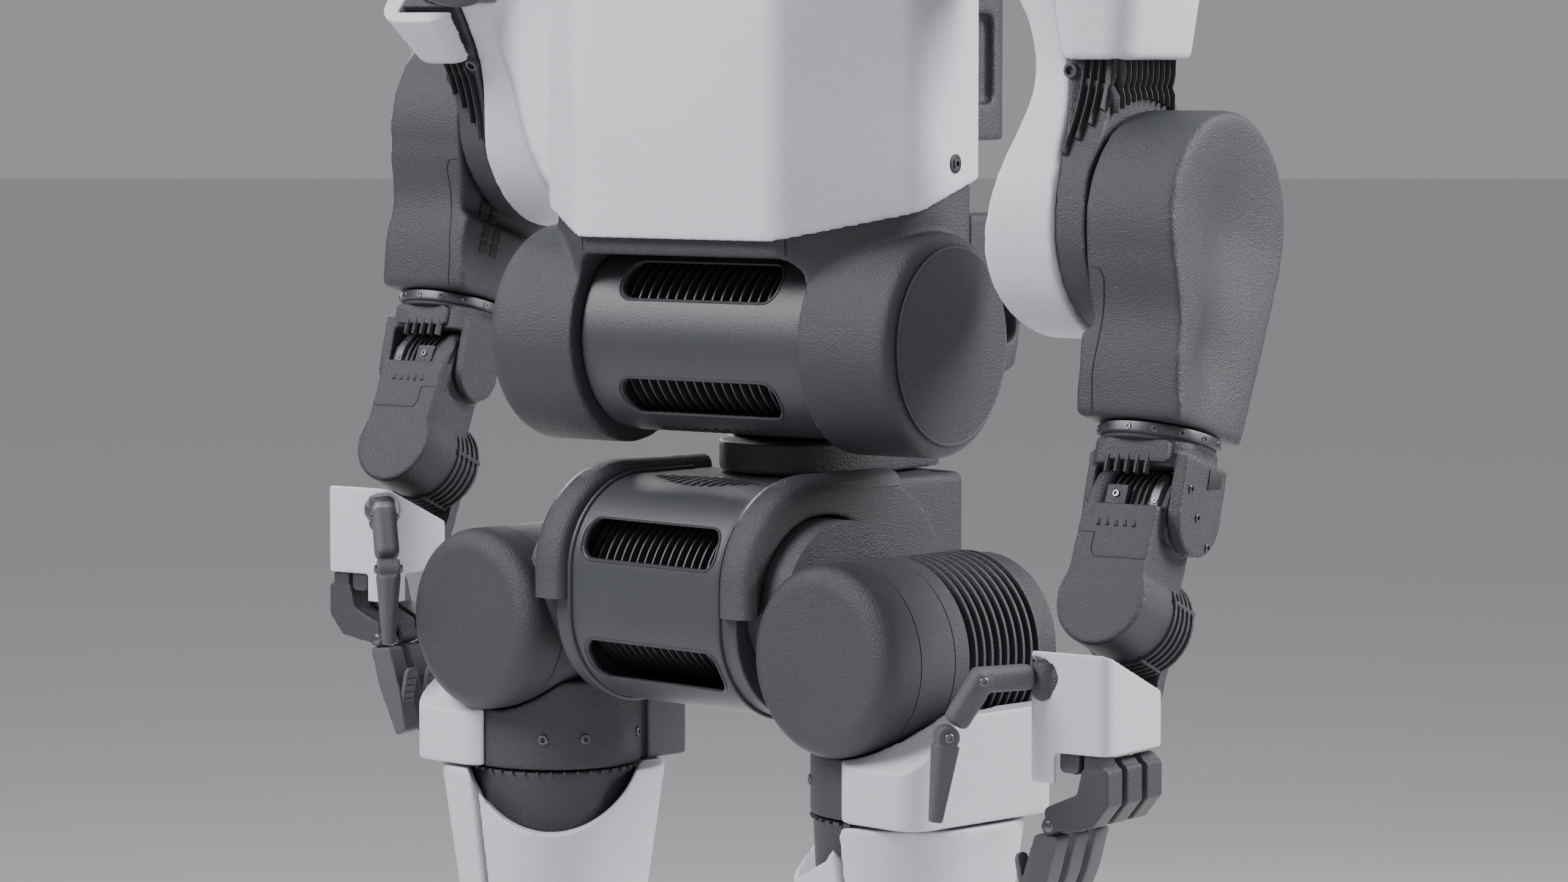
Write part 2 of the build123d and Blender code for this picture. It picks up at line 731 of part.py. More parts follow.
def arm_profile(r_elbow, half_neck, half_top, neck_z, top_z):
    """Side outline of the upper arm: a disc at the elbow narrowing to a neck."""
    with BuildSketch() as s:
        with Locations((ARM_Y, ELBOW_Z)):
            Circle(r_elbow)
        with BuildLine():
            Spline(
                (ARM_Y - half_top, top_z),
                (ARM_Y - half_neck, neck_z),
                (ARM_Y - r_elbow, ELBOW_Z),
                tangents=[(0, -1), (0, -1)],
            )
            Line((ARM_Y - r_elbow, ELBOW_Z), (ARM_Y + r_elbow, ELBOW_Z))
            Spline(
                (ARM_Y + r_elbow, ELBOW_Z),
                (ARM_Y + half_neck, neck_z),
                (ARM_Y + half_top, top_z),
                tangents=[(0, 1), (0, 1)],
            )
            Line((ARM_Y + half_top, top_z), (ARM_Y - half_top, top_z))
        make_face()
    return s.sketch


def upper_arm_strap():
    """White inner strap: a thick disc beside the elbow that narrows upwards."""
    top = ARM_SEAM_Z - GAP / 2
    neck = ELBOW_Z + 122
    low = ELBOW_Z - ELBOW_R - 1
    with BuildPart() as p:
        with BuildSketch(side_plane(STRAP_IN - 30)):
            add(arm_profile(ELBOW_R, 54, 48, neck, top))
        extrude(amount=120)
        with BuildSketch(front_plane(ARM_Y + 150)):
            with BuildLine():
                Polyline(
                    (STRAP_OUT, low),
                    (STRAP_OUT, ELBOW_Z + 50),
                    (STRAP_OUT - 12, neck),
                    (STRAP_OUT - 32, top),
                    (STRAP_OUT - 80, top),
                )
                Spline((STRAP_OUT - 80, top), (STRAP_IN + 17, neck), (STRAP_IN, ELBOW_Z + 14), (STRAP_IN + 12, low))
                Line((STRAP_IN + 12, low), (STRAP_OUT, low))
            make_face()
        extrude(amount=300, mode=Mode.INTERSECT)
    return p.part


def upper_arm_frame():
    """Dark upper arm with upright cooling ribs above the elbow."""
    top = ARM_SEAM_Z - GAP / 2
    neck = ELBOW_Z + 122
    low = ELBOW_Z - ELBOW_R - 1
    with BuildPart() as p:
        with BuildSketch(side_plane(STRAP_IN)):
            add(arm_profile(ELBOW_R - 5, 56, 50, neck, top))
        extrude(amount=160)
        with BuildSketch(front_plane(ARM_Y + 150)):
            with BuildLine():
                Polyline(
                    (STRAP_OUT + 0.5, low),
                    (STRAP_OUT + 0.5, ELBOW_Z + 50),
                    (STRAP_OUT - 11.5, neck),
                    (STRAP_OUT - 31.5, top),
                    (UPPER_X + 50, top),
                    (UPPER_X + 50, neck + 10),
                    (ELBOW_SEAM - GAP / 2, ELBOW_Z + ELBOW_R + 8),
                    (ELBOW_SEAM - GAP / 2, low),
                    close=True,
                )
            make_face()
        extrude(amount=300, mode=Mode.INTERSECT)
    return p.part


def upper_arm_cover():
    """White outer cover round the top of the upper arm."""
    top = ARM_SEAM_Z - GAP
    low = ELBOW_Z + 147
    with BuildPart() as p:
        with BuildSketch(Plane.XY.offset(low)):
            with Locations((UPPER_X + 26, ARM_Y)):
                RectangleRounded(76, 132, 26)
        with BuildSketch(Plane.XY.offset(top)):
            with Locations((UPPER_X + 26, ARM_Y)):
                RectangleRounded(96, 142, 30)
        loft()
        fillet(p.faces().sort_by(Axis.Z)[0].edges(), 8)
        with BuildSketch(Plane.XY.offset(low - 1)):
            with Locations((UPPER_X - 10, ARM_Y)):
                Rectangle(121.2, 114.4)
        extrude(amount=top - low + 2, mode=Mode.SUBTRACT)
    return p.part


# ---------------------------------------------------------------- left forearm, in the elbow's own frame
def forearm():
    """Elbow disc and tapering forearm, with the elbow's seam plane on its inner side."""
    inner = ELBOW_SEAM + GAP / 2 - FOREARM_X
    outer = ELBOW_OUT - FOREARM_X
    low = -RING_DROP
    with BuildPart() as p:
        with BuildSketch(side_plane(-80)):
            Circle(ELBOW_R)
            with BuildLine():
                Polyline(
                    (-ELBOW_R * 0.9, -48),
                    (-RING_R, low),
                    (RING_R, low),
                    (ELBOW_R * 0.93, -42),
                    close=True,
                )
            make_face()
        extrude(amount=160)
        with BuildSketch(front_plane(150)):
            with BuildLine():
                Polyline(
                    (inner, ELBOW_R + 1),
                    (inner, -ELBOW_R - 4),
                    (-RING_R - 6, -ELBOW_R - 10),
                    (-RING_R, low),
                    (RING_R - 4, low),
                    (outer + 6, -90),
                    (outer, 0),
                    (outer, ELBOW_R + 1),
                    close=True,
                )
            make_face()
        extrude(amount=300, mode=Mode.INTERSECT)
    return p.part


def wrist_fork():
    """Bolted ring under the forearm with an outer and an inner ear for the wrist pitch axis."""
    ring_top = -RING_DROP - GAP
    with BuildPart() as p:
        with BuildSketch(Plane.XY.offset(ring_top - 14)):
            Circle(RING_R - 6)
        extrude(amount=14)
        with BuildSketch(Plane.XY.offset(ring_top - 36)):
            RectangleRounded(96, 78, 20)
        extrude(amount=23)
        for x, thick, r in ((40.5, 13, 36), (-50, 9.5, 30)):
            with BuildSketch(side_plane(x)):
                with Locations((0, -WRIST_DROP)):
                    Circle(r)
                with Locations((0, -WRIST_DROP + 24)):
                    Rectangle(2 * r, 48)
            extrude(amount=thick)
    return p.part


def wrist_housing():
    """Wrist pitch drum joined to the swing motor below it, with a front cover."""
    drum_half = 39.5
    with BuildPart() as p:
        with BuildSketch(side_plane(-drum_half)):
            Circle(34)
        extrude(amount=2 * drum_half)
        with BuildSketch(Plane.XY.offset(-SWING_DROP)):
            with Locations((0, -6)):
                RectangleRounded(76, 72, 16)
        extrude(amount=SWING_DROP - 34)
        with BuildSketch(side_plane(-36)):
            with Locations((-5, -30)):
                Rectangle(60, 60)
        extrude(amount=72)
        with BuildSketch(front_plane(46)):
            with Locations((0, -SWING_DROP)):
                Circle(SWING_R)
        extrude(amount=92)
        with BuildSketch(front_plane(-30)):
            with Locations((0, -(SWING_DROP + 8) / 2)):
                SlotOverall(SWING_DROP + 2 * 38, 76, rotation=90)
            with Locations((0, 24)):
                Rectangle(100, 60, mode=Mode.SUBTRACT)
        extrude(amount=17)
    return p.part


# ---------------------------------------------------------------- left hand, in the robot's frame
def palm_shell():
    """White palm cover, open above and below, its top edge falling to the rear."""
    rear_top = PALM_TOP - 42
    low = PALM_BOTTOM + 27
    with BuildPart() as p:
        with BuildSketch(side_plane(PALM_IN)):
            with BuildLine():
                Polyline(
                    (PALM_FRONT, PALM_BOTTOM),
                    (PALM_FRONT, PALM_TOP),
                    (PALM_REAR, rear_top),
                    (PALM_REAR, low),
                    (PALM_FRONT + 27, low),
                    (PALM_FRONT + 27, PALM_BOTTOM),
                    close=True,
                )
            make_face()
        extrude(amount=PALM_OUT - PALM_IN)
        upright = p.edges().filter_by(Axis.Z)
        fillet(upright.filter_by(lambda e: e.length > 40), 11)
        with BuildSketch(Plane.XY.offset(PALM_BOTTOM - 1)):
            with Locations(((PALM_IN + PALM_OUT) / 2, (PALM_FRONT + PALM_REAR) / 2)):
                RectangleRounded(PALM_OUT - PALM_IN - 9, PALM_REAR - PALM_FRONT - 9, 7)
        extrude(amount=140, mode=Mode.SUBTRACT)
        with BuildSketch(Plane.XY.offset(PALM_BOTTOM - 1)):
            with Locations((PALM_OUT - 10, PALM_FRONT)):
                Rectangle(88, 70)
        extrude(amount=low - PALM_BOTTOM + 1, mode=Mode.SUBTRACT)
        with BuildSketch(front_plane(PALM_REAR + 10)):
            with Locations((FOREARM_X, PALM_TOP - 30)):
                Rectangle(43, 92)
        extrude(amount=30, mode=Mode.SUBTRACT)
        with BuildSketch(Plane(THUMB_ROOT, x_dir=(1, -1, 0), z_dir=(1, 1, 0))):
            Circle(17)
        extrude(amount=24, both=True, mode=Mode.SUBTRACT)
    return p.part


def palm_core():
    """Dark hand frame: rear ear on the swing motor, block inside the palm, thumb stub."""
    with BuildPart() as p:
        with BuildSketch(Plane.XY.offset(PALM_BOTTOM + 28)):
            with Locations(((PALM_IN + PALM_OUT) / 2, (PALM_FRONT + PALM_REAR) / 2)):
                RectangleRounded(PALM_OUT - PALM_IN - 10, PALM_REAR - PALM_FRONT - 10, 6)
        extrude(amount=40)
        with BuildSketch(Plane.XY.offset(PALM_BOTTOM + 41)):
            with Locations((FOREARM_X, PALM_REAR - 5)):
                Rectangle(38, 60)
        extrude(amount=27)
        with BuildSketch(Plane.XY.offset(THUMB_ROOT.Z - 40)):
            with Locations((THUMB_STUB.X, THUMB_STUB.Y)):
                Circle(8)
        extrude(amount=46)
        with BuildSketch(Plane(SWING_AT) * Plane(origin=(0, 60, 0), x_dir=(1, 0, 0), z_dir=(0, -1, 0))):
            Circle(32)
            with Locations((0, -42)):
                Rectangle(40, 84)
        extrude(amount=12.5)
    return p.part


def bar(start, end, wide, thick, round_r):
    """Rounded link between two points, its width level."""
    along = end - start
    level = Vector(along.Y, -along.X, 0) if abs(along.X) + abs(along.Y) > 1 else Vector(1, 0, 0)
    with BuildPart() as p:
        with BuildSketch(Plane(start, x_dir=level, z_dir=along)):
            RectangleRounded(wide, thick, round_r)
        extrude(amount=along.length)
        fillet(p.faces().sort_by(Axis(start, along))[-1].edges(), round_r * 0.8)
        fillet(p.faces().sort_by(Axis(start, along))[0].edges(), round_r * 0.8)
    return p.part


def thumb_proximal():
    """Thumb clevis at the palm and the first link."""
    with BuildPart() as p:
        add(bar(THUMB_ROOT + Vector(-2, -2, 0), THUMB_ELBOW + Vector(-6, -6, 0), 24, 22, 8))
        link = THUMB_TIP_AXIS - THUMB_ELBOW
        add(bar(THUMB_ELBOW + Vector(4, 4, 8), THUMB_TIP_AXIS - link * (12 / link.length), 24, 22, 8))
    return p.part


def thumb_distal():
    """Thumb tip, tapering to a point."""
    along = THUMB_END - THUMB_TIP_AXIS
    hinge = Vector(1, -1, 0).normalized()
    with BuildPart() as p:
        with BuildSketch(Plane(THUMB_TIP_AXIS - hinge * 11, x_dir=(0, 0, 1), z_dir=hinge)):
            Circle(10)
        extrude(amount=22)
        with BuildSketch(Plane(THUMB_TIP_AXIS + along * 0.1, x_dir=(1, -1, 0), z_dir=along)):
            RectangleRounded(24, 24, 9)
        with BuildSketch(Plane(THUMB_END, x_dir=(1, -1, 0), z_dir=along)):
            RectangleRounded(12, 12, 5)
        loft()
    return p.part


def fingers_proximal():
    """Three angled finger links side by side below the palm."""
    with BuildPart() as p:
        for k in range(3):
            y = FINGER_Y + k * FINGER_PITCH + FINGER_WIDE / 2
            with BuildSketch(front_plane(y)) as outline:
                with BuildLine():
                    Polyline(
                        (PALM_OUT - 2, KNUCKLE_Z + 2),
                        (PALM_OUT - 2, KNUCKLE_Z - 30),
                        (PALM_OUT - 18, KNUCKLE_Z - 50),
                        (FINGER_X - 4, KNUCKLE_Z - 58),
                        (FINGER_X - 4, KNUCKLE_Z - 36),
                        (PALM_OUT - 34, KNUCKLE_Z - 22),
                        (PALM_OUT - 28, KNUCKLE_Z + 2),
                        close=True,
                    )
                make_face()
                fillet(outline.vertices(), 4)
                with Locations((PALM_OUT - 14, KNUCKLE_Z)):
                    Circle(8)
                with Locations((FINGER_X, KNUCKLE_Z - 52)):
                    Circle(7.5)
            extrude(amount=FINGER_WIDE)
    return p.part


def fingers_distal():
    """Three hanging fingertips."""
    with BuildPart() as p:
        for k in range(3):
            y = FINGER_Y + k * FINGER_PITCH + FINGER_WIDE / 2 - 1.5
            with BuildSketch(front_plane(y)) as outline:
                with BuildLine():
                    Polyline(
                        (FINGER_X + 9, KNUCKLE_Z - 60),
                        (FINGER_X - 2, KNUCKLE_Z - 100),
                        (FINGER_X - 24, KNUCKLE_Z - 148),
                        (FINGER_X - 36, KNUCKLE_Z - 142),
                        (FINGER_X - 28, KNUCKLE_Z - 100),
                        (FINGER_X - 15, KNUCKLE_Z - 60),
                        close=True,
                    )
                make_face()
                fillet(outline.vertices(), 4)
            extrude(amount=FINGER_WIDE - 3)
    return p.part


def main():
    os.makedirs("parts", exist_ok=True)
    save(pelvis_housing(), "pelvis_housing")
    save(pelvis_actuator(), "pelvis_actuator")
    save(pelvis_rear_housing(), "pelvis_rear_housing")
    save_pair(pelvis_side_cover(), "pelvis_side_cover")
    save(waist_bearing(), "waist_bearing", TORSO_TURN)
    save(waist_barrel(), "waist_barrel", TORSO_TURN)
    save(waist_actuator(), "waist_actuator", TORSO_TURN)
    save(torso_frame(), "torso_frame", TORSO_TURN)
    save(waist_end_caps(), "waist_end_caps", TORSO_TURN)
    save(torso_core(), "torso_core", TORSO_TURN)
    save(torso_handles(), "torso_handles", TORSO_TURN)
    save(torso_front_shell(), "torso_front_shell", TORSO_TURN)
    save(neck_post(), "neck_post", TORSO_TURN)
    save(head_shell(), "head_shell", TORSO_TURN)
    save(head_visor(), "head_visor", TORSO_TURN)
    save_pair(shoulder_motor(), "shoulder_motor", TORSO_TURN, RIGHT_SHOULDER)
    save_pair(shoulder_yoke(), "shoulder_yoke", TORSO_TURN, RIGHT_SHOULDER)
    save_pair(upper_arm_strap(), "upper_arm_strap", TORSO_TURN, RIGHT_SHOULDER)
    save_pair(upper_arm_frame(), "upper_arm_frame", TORSO_TURN, RIGHT_SHOULDER)
    save_pair(upper_arm_cover(), "upper_arm_cover", TORSO_TURN, RIGHT_SHOULDER)
    save_pair(forearm().moved(FOREARM_AT), "forearm", TORSO_TURN, RIGHT_FOREARM)
    save_pair(wrist_fork().moved(FOREARM_AT), "wrist_fork", TORSO_TURN, RIGHT_FOREARM)
    save_pair(wrist_housing().moved(WRIST_AT), "wrist_housing", TORSO_TURN, RIGHT_FOREARM)
    save_pair(palm_shell(), "palm_shell", TORSO_TURN, RIGHT_FOREARM)
    save_pair(palm_core(), "palm_core", TORSO_TURN, RIGHT_FOREARM)
    save_pair(thumb_proximal(), "thumb_proximal", TORSO_TURN, RIGHT_FOREARM)
    save_pair(thumb_distal(), "thumb_distal", TORSO_TURN, RIGHT_FOREARM)
    save_pair(fingers_proximal(), "fingers_proximal", TORSO_TURN, RIGHT_FOREARM)
    save_pair(fingers_distal(), "fingers_distal", TORSO_TURN, RIGHT_FOREARM)
    save_pair(hip_motor(), "hip_motor")
    save_pair(hip_yoke(), "hip_yoke")
    save_pair(upper_thigh_cover(), "upper_thigh_cover")
    save_pair(thigh_core(), "thigh_core")
    save_pair(thigh_shells(), "thigh_shells")
    save_pair(shin(), "shin")
    save_pair(ankle(), "ankle")
    save_pair(foot(), "foot")


if __name__ == "__main__":
    main()
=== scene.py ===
"""Looks of the full-size humanoid robot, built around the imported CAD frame.

Lengths are millimetres in the robot's design frame: +Z up, facing -Y, left side +X, Y = 0 on
the hip pitch axis. Torso pieces are drawn square to the pelvis and then turned with the torso.
Left pieces are drawn once and mirrored.
"""

import json
import math

import bmesh
import bpy
import numpy as np
from mathutils import Matrix, Vector
from mathutils.bvhtree import BVHTree


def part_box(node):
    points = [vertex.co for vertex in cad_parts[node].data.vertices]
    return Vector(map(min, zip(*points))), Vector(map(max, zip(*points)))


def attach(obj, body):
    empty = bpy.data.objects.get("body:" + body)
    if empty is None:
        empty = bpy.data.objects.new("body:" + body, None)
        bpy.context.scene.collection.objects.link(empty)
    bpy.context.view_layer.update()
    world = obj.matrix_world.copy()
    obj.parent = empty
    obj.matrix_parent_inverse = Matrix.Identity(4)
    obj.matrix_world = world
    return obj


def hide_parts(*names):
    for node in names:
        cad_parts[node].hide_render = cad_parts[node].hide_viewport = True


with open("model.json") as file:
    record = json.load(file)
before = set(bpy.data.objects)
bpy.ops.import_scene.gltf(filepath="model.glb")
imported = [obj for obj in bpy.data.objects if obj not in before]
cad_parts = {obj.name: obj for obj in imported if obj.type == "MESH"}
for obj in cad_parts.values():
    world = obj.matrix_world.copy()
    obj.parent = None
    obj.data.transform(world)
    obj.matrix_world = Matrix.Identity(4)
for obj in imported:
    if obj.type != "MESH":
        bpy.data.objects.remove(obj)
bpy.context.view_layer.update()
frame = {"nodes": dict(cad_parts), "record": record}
MM = 0.001
SIDES = ("left", "right")

# ---------------------------------------------------------------- design frame (mm, degrees)
PELVIS_Z = 985.0
PELVIS_DEPTH = 92.0  # from the front of the pelvis housing back to Y = 0
WAIST_Z = 1226.0
WAIST_Y = 22.0
YAW_Y = 126.0
TORSO_YAW = 10.0
HIP_X = 236.5
ROLL_Z = 948.0
LEG_Y = 10.0
ARM_Y = 30.0
SHOULDER_X = 345.0
SHOULDER_Z = 1626.0
ELBOW_Z = 1340.0
FOREARM_X = 478.0
FOREARM_TILT = 16
ELBOW_TO_WRIST = 260
WRIST_TILT = 8  # on top of the forearm's
WRIST_TO_SWING = 92
RIGHT_SWING = 44  # the right arm hangs further back, with its elbow bent as much

pelvis_low, pelvis_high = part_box("pelvis_housing")
middle = (pelvis_low.x + pelvis_high.x) / 2
ROOT = Matrix.Translation((middle, pelvis_low.y + PELVIS_DEPTH * MM, 0)) @ Matrix.Scale(MM, 4)


def shift(x, y, z):
    return Matrix.Translation((x, y, z))


def turn(degrees, axis):
    return Matrix.Rotation(math.radians(degrees), 4, axis)


def turn_about(point, degrees, axis):
    return shift(*point) @ turn(degrees, axis) @ shift(*[-c for c in point])


TORSO = ROOT @ turn_about((0, YAW_Y, 0), TORSO_YAW, "Z")
FOREARM = shift(FOREARM_X, ARM_Y, ELBOW_Z) @ turn(-FOREARM_TILT, "X")
WRIST = FOREARM @ shift(0, 0, -ELBOW_TO_WRIST) @ turn(-WRIST_TILT, "X")
SWING = WRIST @ shift(0, 0, -WRIST_TO_SWING)
FLIP = Matrix.Scale(-1, 4, (1, 0, 0))
RIGHT_UPPER = turn_about((-SHOULDER_X, ARM_Y, SHOULDER_Z), RIGHT_SWING, "X")
RIGHT_LOWER = RIGHT_UPPER @ turn_about((-FOREARM_X, ARM_Y, ELBOW_Z), -RIGHT_SWING, "X")
INNER_FRAMES = {"forearm": FOREARM, "wrist": WRIST, "swing": SWING}


def at(side, zone):
    """The millimetre frame of a zone: pelvis, leg, torso, upper (arm), forearm, wrist, swing or hand."""
    if zone in ("pelvis", "leg"):
        return ROOT @ FLIP if side == "right" else ROOT
    inner = INNER_FRAMES.get(zone, Matrix.Identity(4))
    if side == "right":
        pose = RIGHT_UPPER if zone == "upper" else RIGHT_LOWER
        return TORSO @ pose @ FLIP @ inner
    return TORSO @ inner


# ---------------------------------------------------------------- materials
DRIFT_SCALE, SPECKLE_SCALE = 7.0, 420.0  # noise cells per metre
BUMP_HEIGHT = 0.0011


def new_material(name):
    mat = bpy.data.materials.new(name)
    mat.use_nodes = True
    return mat, mat.node_tree.nodes, mat.node_tree.links


def grained(name, colour, spread, rough, rough_spread, grain_mm, grain_depth,
            metallic=0.0, edge=0.0, coat=0.0):
    """Moulded or cast surface: fine grain in the bump, slow colour drift, and a painted highlight that
    makes convex edges paler.
    """
    mat, nodes, links = new_material(name)
    shader = nodes["Principled BSDF"]
    shader.inputs["Metallic"].default_value = metallic
    shader.inputs["Coat Weight"].default_value = coat
    coords = nodes.new("ShaderNodeTexCoord")

    def noise(scale, detail, roughness=0.55):
        node = nodes.new("ShaderNodeTexNoise")
        node.inputs["Scale"].default_value = scale
        node.inputs["Detail"].default_value = detail
        node.inputs["Roughness"].default_value = roughness
        links.new(coords.outputs["Object"], node.inputs["Vector"])
        return node

    def ranged(source, low, high, start=0.3, stop=0.7):
        node = nodes.new("ShaderNodeMapRange")
        node.inputs["From Min"].default_value = start
        node.inputs["From Max"].default_value = stop
        node.inputs["To Min"].default_value = low
        node.inputs["To Max"].default_value = high
        links.new(source, node.inputs["Value"])
        return node.outputs["Result"]

    slow = noise(DRIFT_SCALE, 4.0)
    speckle = noise(SPECKLE_SCALE, 2.0)
    tint = nodes.new("ShaderNodeMix")
    tint.data_type = "RGBA"
    tint.inputs["A"].default_value = (*[c * (1 - spread) for c in colour], 1)
    tint.inputs["B"].default_value = (*[min(1.0, c * (1 + spread)) for c in colour], 1)
    blend_in = nodes.new("ShaderNodeMath")
    blend_in.operation = "MULTIPLY_ADD"
    links.new(ranged(speckle.outputs["Fac"], 0.0, 0.45), blend_in.inputs[0])
    blend_in.inputs[1].default_value = 1.0
    links.new(ranged(slow.outputs["Fac"], 0.0, 0.55), blend_in.inputs[2])
    links.new(blend_in.outputs["Value"], tint.inputs["Factor"])
    out = tint.outputs["Result"]
    # Painted highlight: convex edges, found by pointiness, are mixed towards a paler copy of the colour, up
    # to the strength given by edge.
    if edge:
        geometry = nodes.new("ShaderNodeNewGeometry")
        painted_edge_highlight = nodes.new("ShaderNodeMix")
        painted_edge_highlight.data_type = "RGBA"
        painted_edge_highlight.inputs["B"].default_value = (*[min(1.0, c * 1.9 + 0.03) for c in colour], 1)
        links.new(ranged(geometry.outputs["Pointiness"], 0.0, edge, 0.52, 0.62), painted_edge_highlight.inputs["Factor"])
        links.new(out, painted_edge_highlight.inputs["A"])
        out = painted_edge_highlight.outputs["Result"]
    links.new(out, shader.inputs["Base Color"])
    roughness = ranged(slow.outputs["Fac"], rough - rough_spread, rough + rough_spread)
    links.new(roughness, shader.inputs["Roughness"])
    cells = nodes.new("ShaderNodeTexVoronoi")
    cells.feature = "SMOOTH_F1"
    cells.inputs["Scale"].default_value = 1000.0 / grain_mm
    cells.inputs["Smoothness"].default_value = 0.6
    links.new(coords.outputs["Object"], cells.inputs["Vector"])
    fine = noise(2400.0 / grain_mm, 3.0)
    height = nodes.new("ShaderNodeMath")
    height.operation = "MULTIPLY_ADD"
    links.new(cells.outputs["Distance"], height.inputs[0])
    height.inputs[1].default_value = 0.8
    links.new(fine.outputs["Fac"], height.inputs[2])
    bump = nodes.new("ShaderNodeBump")
    bump.inputs["Strength"].default_value = grain_depth
    bump.inputs["Distance"].default_value = BUMP_HEIGHT
    links.new(height.outputs["Value"], bump.inputs["Height"])
    links.new(bump.outputs["Normal"], shader.inputs["Normal"])
    return mat


# edge sets the strength of the painted highlight on convex edges.
MATS = {
    "white_shell": grained("white_shell", (0.55, 0.56, 0.60), 0.04, 0.40, 0.05, 1.5, 0.34),
    "dark_housing": grained("dark_housing", (0.036, 0.038, 0.043), 0.18, 0.41, 0.06, 1.8, 0.62, edge=0.35),
    "satin_housing": grained("satin_housing", (0.044, 0.046, 0.052), 0.10, 0.35, 0.05, 1.1, 0.26, edge=0.3),
    "metal": grained("metal", (0.062, 0.064, 0.070), 0.14, 0.34, 0.07, 0.8, 0.18, metallic=0.5, edge=0.5),
    "visor": grained("visor", (0.008, 0.009, 0.011), 0.10, 0.09, 0.03, 2.5, 0.02, coat=0.6),
    "sole": grained("sole", (0.035, 0.036, 0.038), 0.15, 0.72, 0.06, 2.2, 0.5, edge=0.25),
    "finger_pad": grained("finger_pad", (0.075, 0.078, 0.086), 0.12, 0.52, 0.06, 1.3, 0.5, edge=0.25),
    "cast_face": grained("cast_face", (0.032, 0.034, 0.039), 0.16, 0.47, 0.05, 2.4, 0.85),
    "recess": grained("recess", (0.012, 0.012, 0.014), 0.20, 0.60, 0.05, 1.0, 0.2),
    "bolt": grained("bolt", (0.13, 0.13, 0.14), 0.15, 0.30, 0.06, 0.6, 0.1, metallic=0.9, edge=0.4),
}


def dress(obj, finish):
    obj.data.materials.clear()
    obj.data.materials.append(MATS[finish])


# ---------------------------------------------------------------- mesh helpers
def smooth_shade(mesh, angle):
    """Smooth shading with edges above an angle kept sharp."""
    mesh.polygons.foreach_set("use_smooth", [True] * len(mesh.polygons))
    mesh.set_sharp_from_angle(angle=math.radians(angle))


def add_piece(name, verts, faces, matrix, body, finish, angle):
    """Makes a mesh object from points in a millimetre frame, riding on a body."""
    mesh = bpy.data.meshes.new(name)
    mesh.from_pydata([matrix @ Vector(v) for v in verts], [], faces)
    mesh.validate()
    mesh.update()
    smooth_shade(mesh, angle)
    obj = bpy.data.objects.new(name, mesh)
    bpy.context.scene.collection.objects.link(obj)
    dress(obj, finish)
    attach(obj, body)


def joined(parts):
    """Puts several (verts, faces) pairs into one."""
    verts, faces = [], []
    for v, f in parts:
        base = len(verts)
        verts += list(v)
        faces += [tuple(base + i for i in face) for face in f]
    return verts, faces


def moved(part, matrix):
    verts, faces = part
    return [matrix @ Vector(v) for v in verts], faces


def lathe(profile, segments):
    """Revolves (height, radius) points round Z; radius 0 closes an end."""
    verts, faces, rings = [], [], []
    for height, radius in profile:
        count = segments if radius else 1
        rings.append(range(len(verts), len(verts) + count))
        for k in range(count):
            a = 2 * math.pi * k / segments
            verts.append((radius * math.cos(a), radius * math.sin(a), height))
    for lower, upper in zip(rings, rings[1:]):
        for k in range(segments):
            n = (k + 1) % segments
            if len(lower) == 1:
                faces.append((lower[0], upper[n], upper[k]))
            elif len(upper) == 1:
                faces.append((lower[k], lower[n], upper[0]))
            else:
                faces.append((lower[k], lower[n], upper[n], upper[k]))
    return verts, faces


def tube(path, radius, segments, normal, closed=False, flat=1.0):
    """Sweeps a section along points: radius across, radius times flat along the normal."""
    path = [Vector(p) for p in path]
    count = len(path)
    verts, faces = [], []
    for i, p in enumerate(path):
        before = path[i - 1] if (i or closed) else path[0]
        after = path[(i + 1) % count] if (i < count - 1 or closed) else path[-1]
        along = (after - before).normalized()
        side = along.cross(normal).normalized()
        out = side.cross(along).normalized()
        for k in range(segments):
            a = 2 * math.pi * k / segments
            verts.append(p + side * (radius * math.cos(a)) + out * (radius * flat * math.sin(a)))
    spans = count if closed else count - 1
    for i in range(spans):
        j = (i + 1) % count
        for k in range(segments):
            n = (k + 1) % segments
            faces.append((i * segments + k, i * segments + n, j * segments + n, j * segments + k))
    if not closed:
        faces.append(tuple(reversed(range(segments))))
        faces.append(tuple((count - 1) * segments + k for k in range(segments)))
    return verts, faces


def rounded_outline(width, height, radius, steps=6):
    """Points of a rounded rectangle in the XY plane, anticlockwise."""
    points = []
    for cx, cy, start in ((1, 1, 0), (-1, 1, 90), (-1, -1, 180), (1, -1, 270)):
        for k in range(steps + 1):
            a = math.radians(start + 90 * k / steps)
            points.append((cx * (width / 2 - radius) + radius * math.cos(a),
                           cy * (height / 2 - radius) + radius * math.sin(a)))
    return points


def slab(outline, thick, soft):
    """Extrudes an outline along Z with softened edges."""
    cx = sum(p[0] for p in outline) / len(outline)
    cy = sum(p[1] for p in outline) / len(outline)
    size = max(max(abs(p[0] - cx) for p in outline), max(abs(p[1] - cy) for p in outline))
    verts, faces = [], []
    near = soft * 0.3
    levels = ((0, soft), (near, near), (soft, 0), (thick - soft, 0), (thick - near, near), (thick, soft))
    for z, inset in levels:
        scale = 1 - inset / size
        verts += [(cx + (x - cx) * scale, cy + (y - cy) * scale, z) for x, y in outline]
    n = len(outline)
    for level in range(len(levels) - 1):
        for k in range(n):
            j = (k + 1) % n
            faces.append((level * n + k, level * n + j, (level + 1) * n + j, (level + 1) * n + k))
    faces.append(tuple(reversed(range(n))))
    faces.append(tuple((len(levels) - 1) * n + k for k in range(n)))
    return verts, faces


def aimed(position, direction):
    """Matrix that puts local Z along a direction at a position."""
    rotation = Vector((0, 0, 1)).rotation_difference(Vector(direction))
    return Matrix.Translation(position) @ rotation.to_matrix().to_4x4()


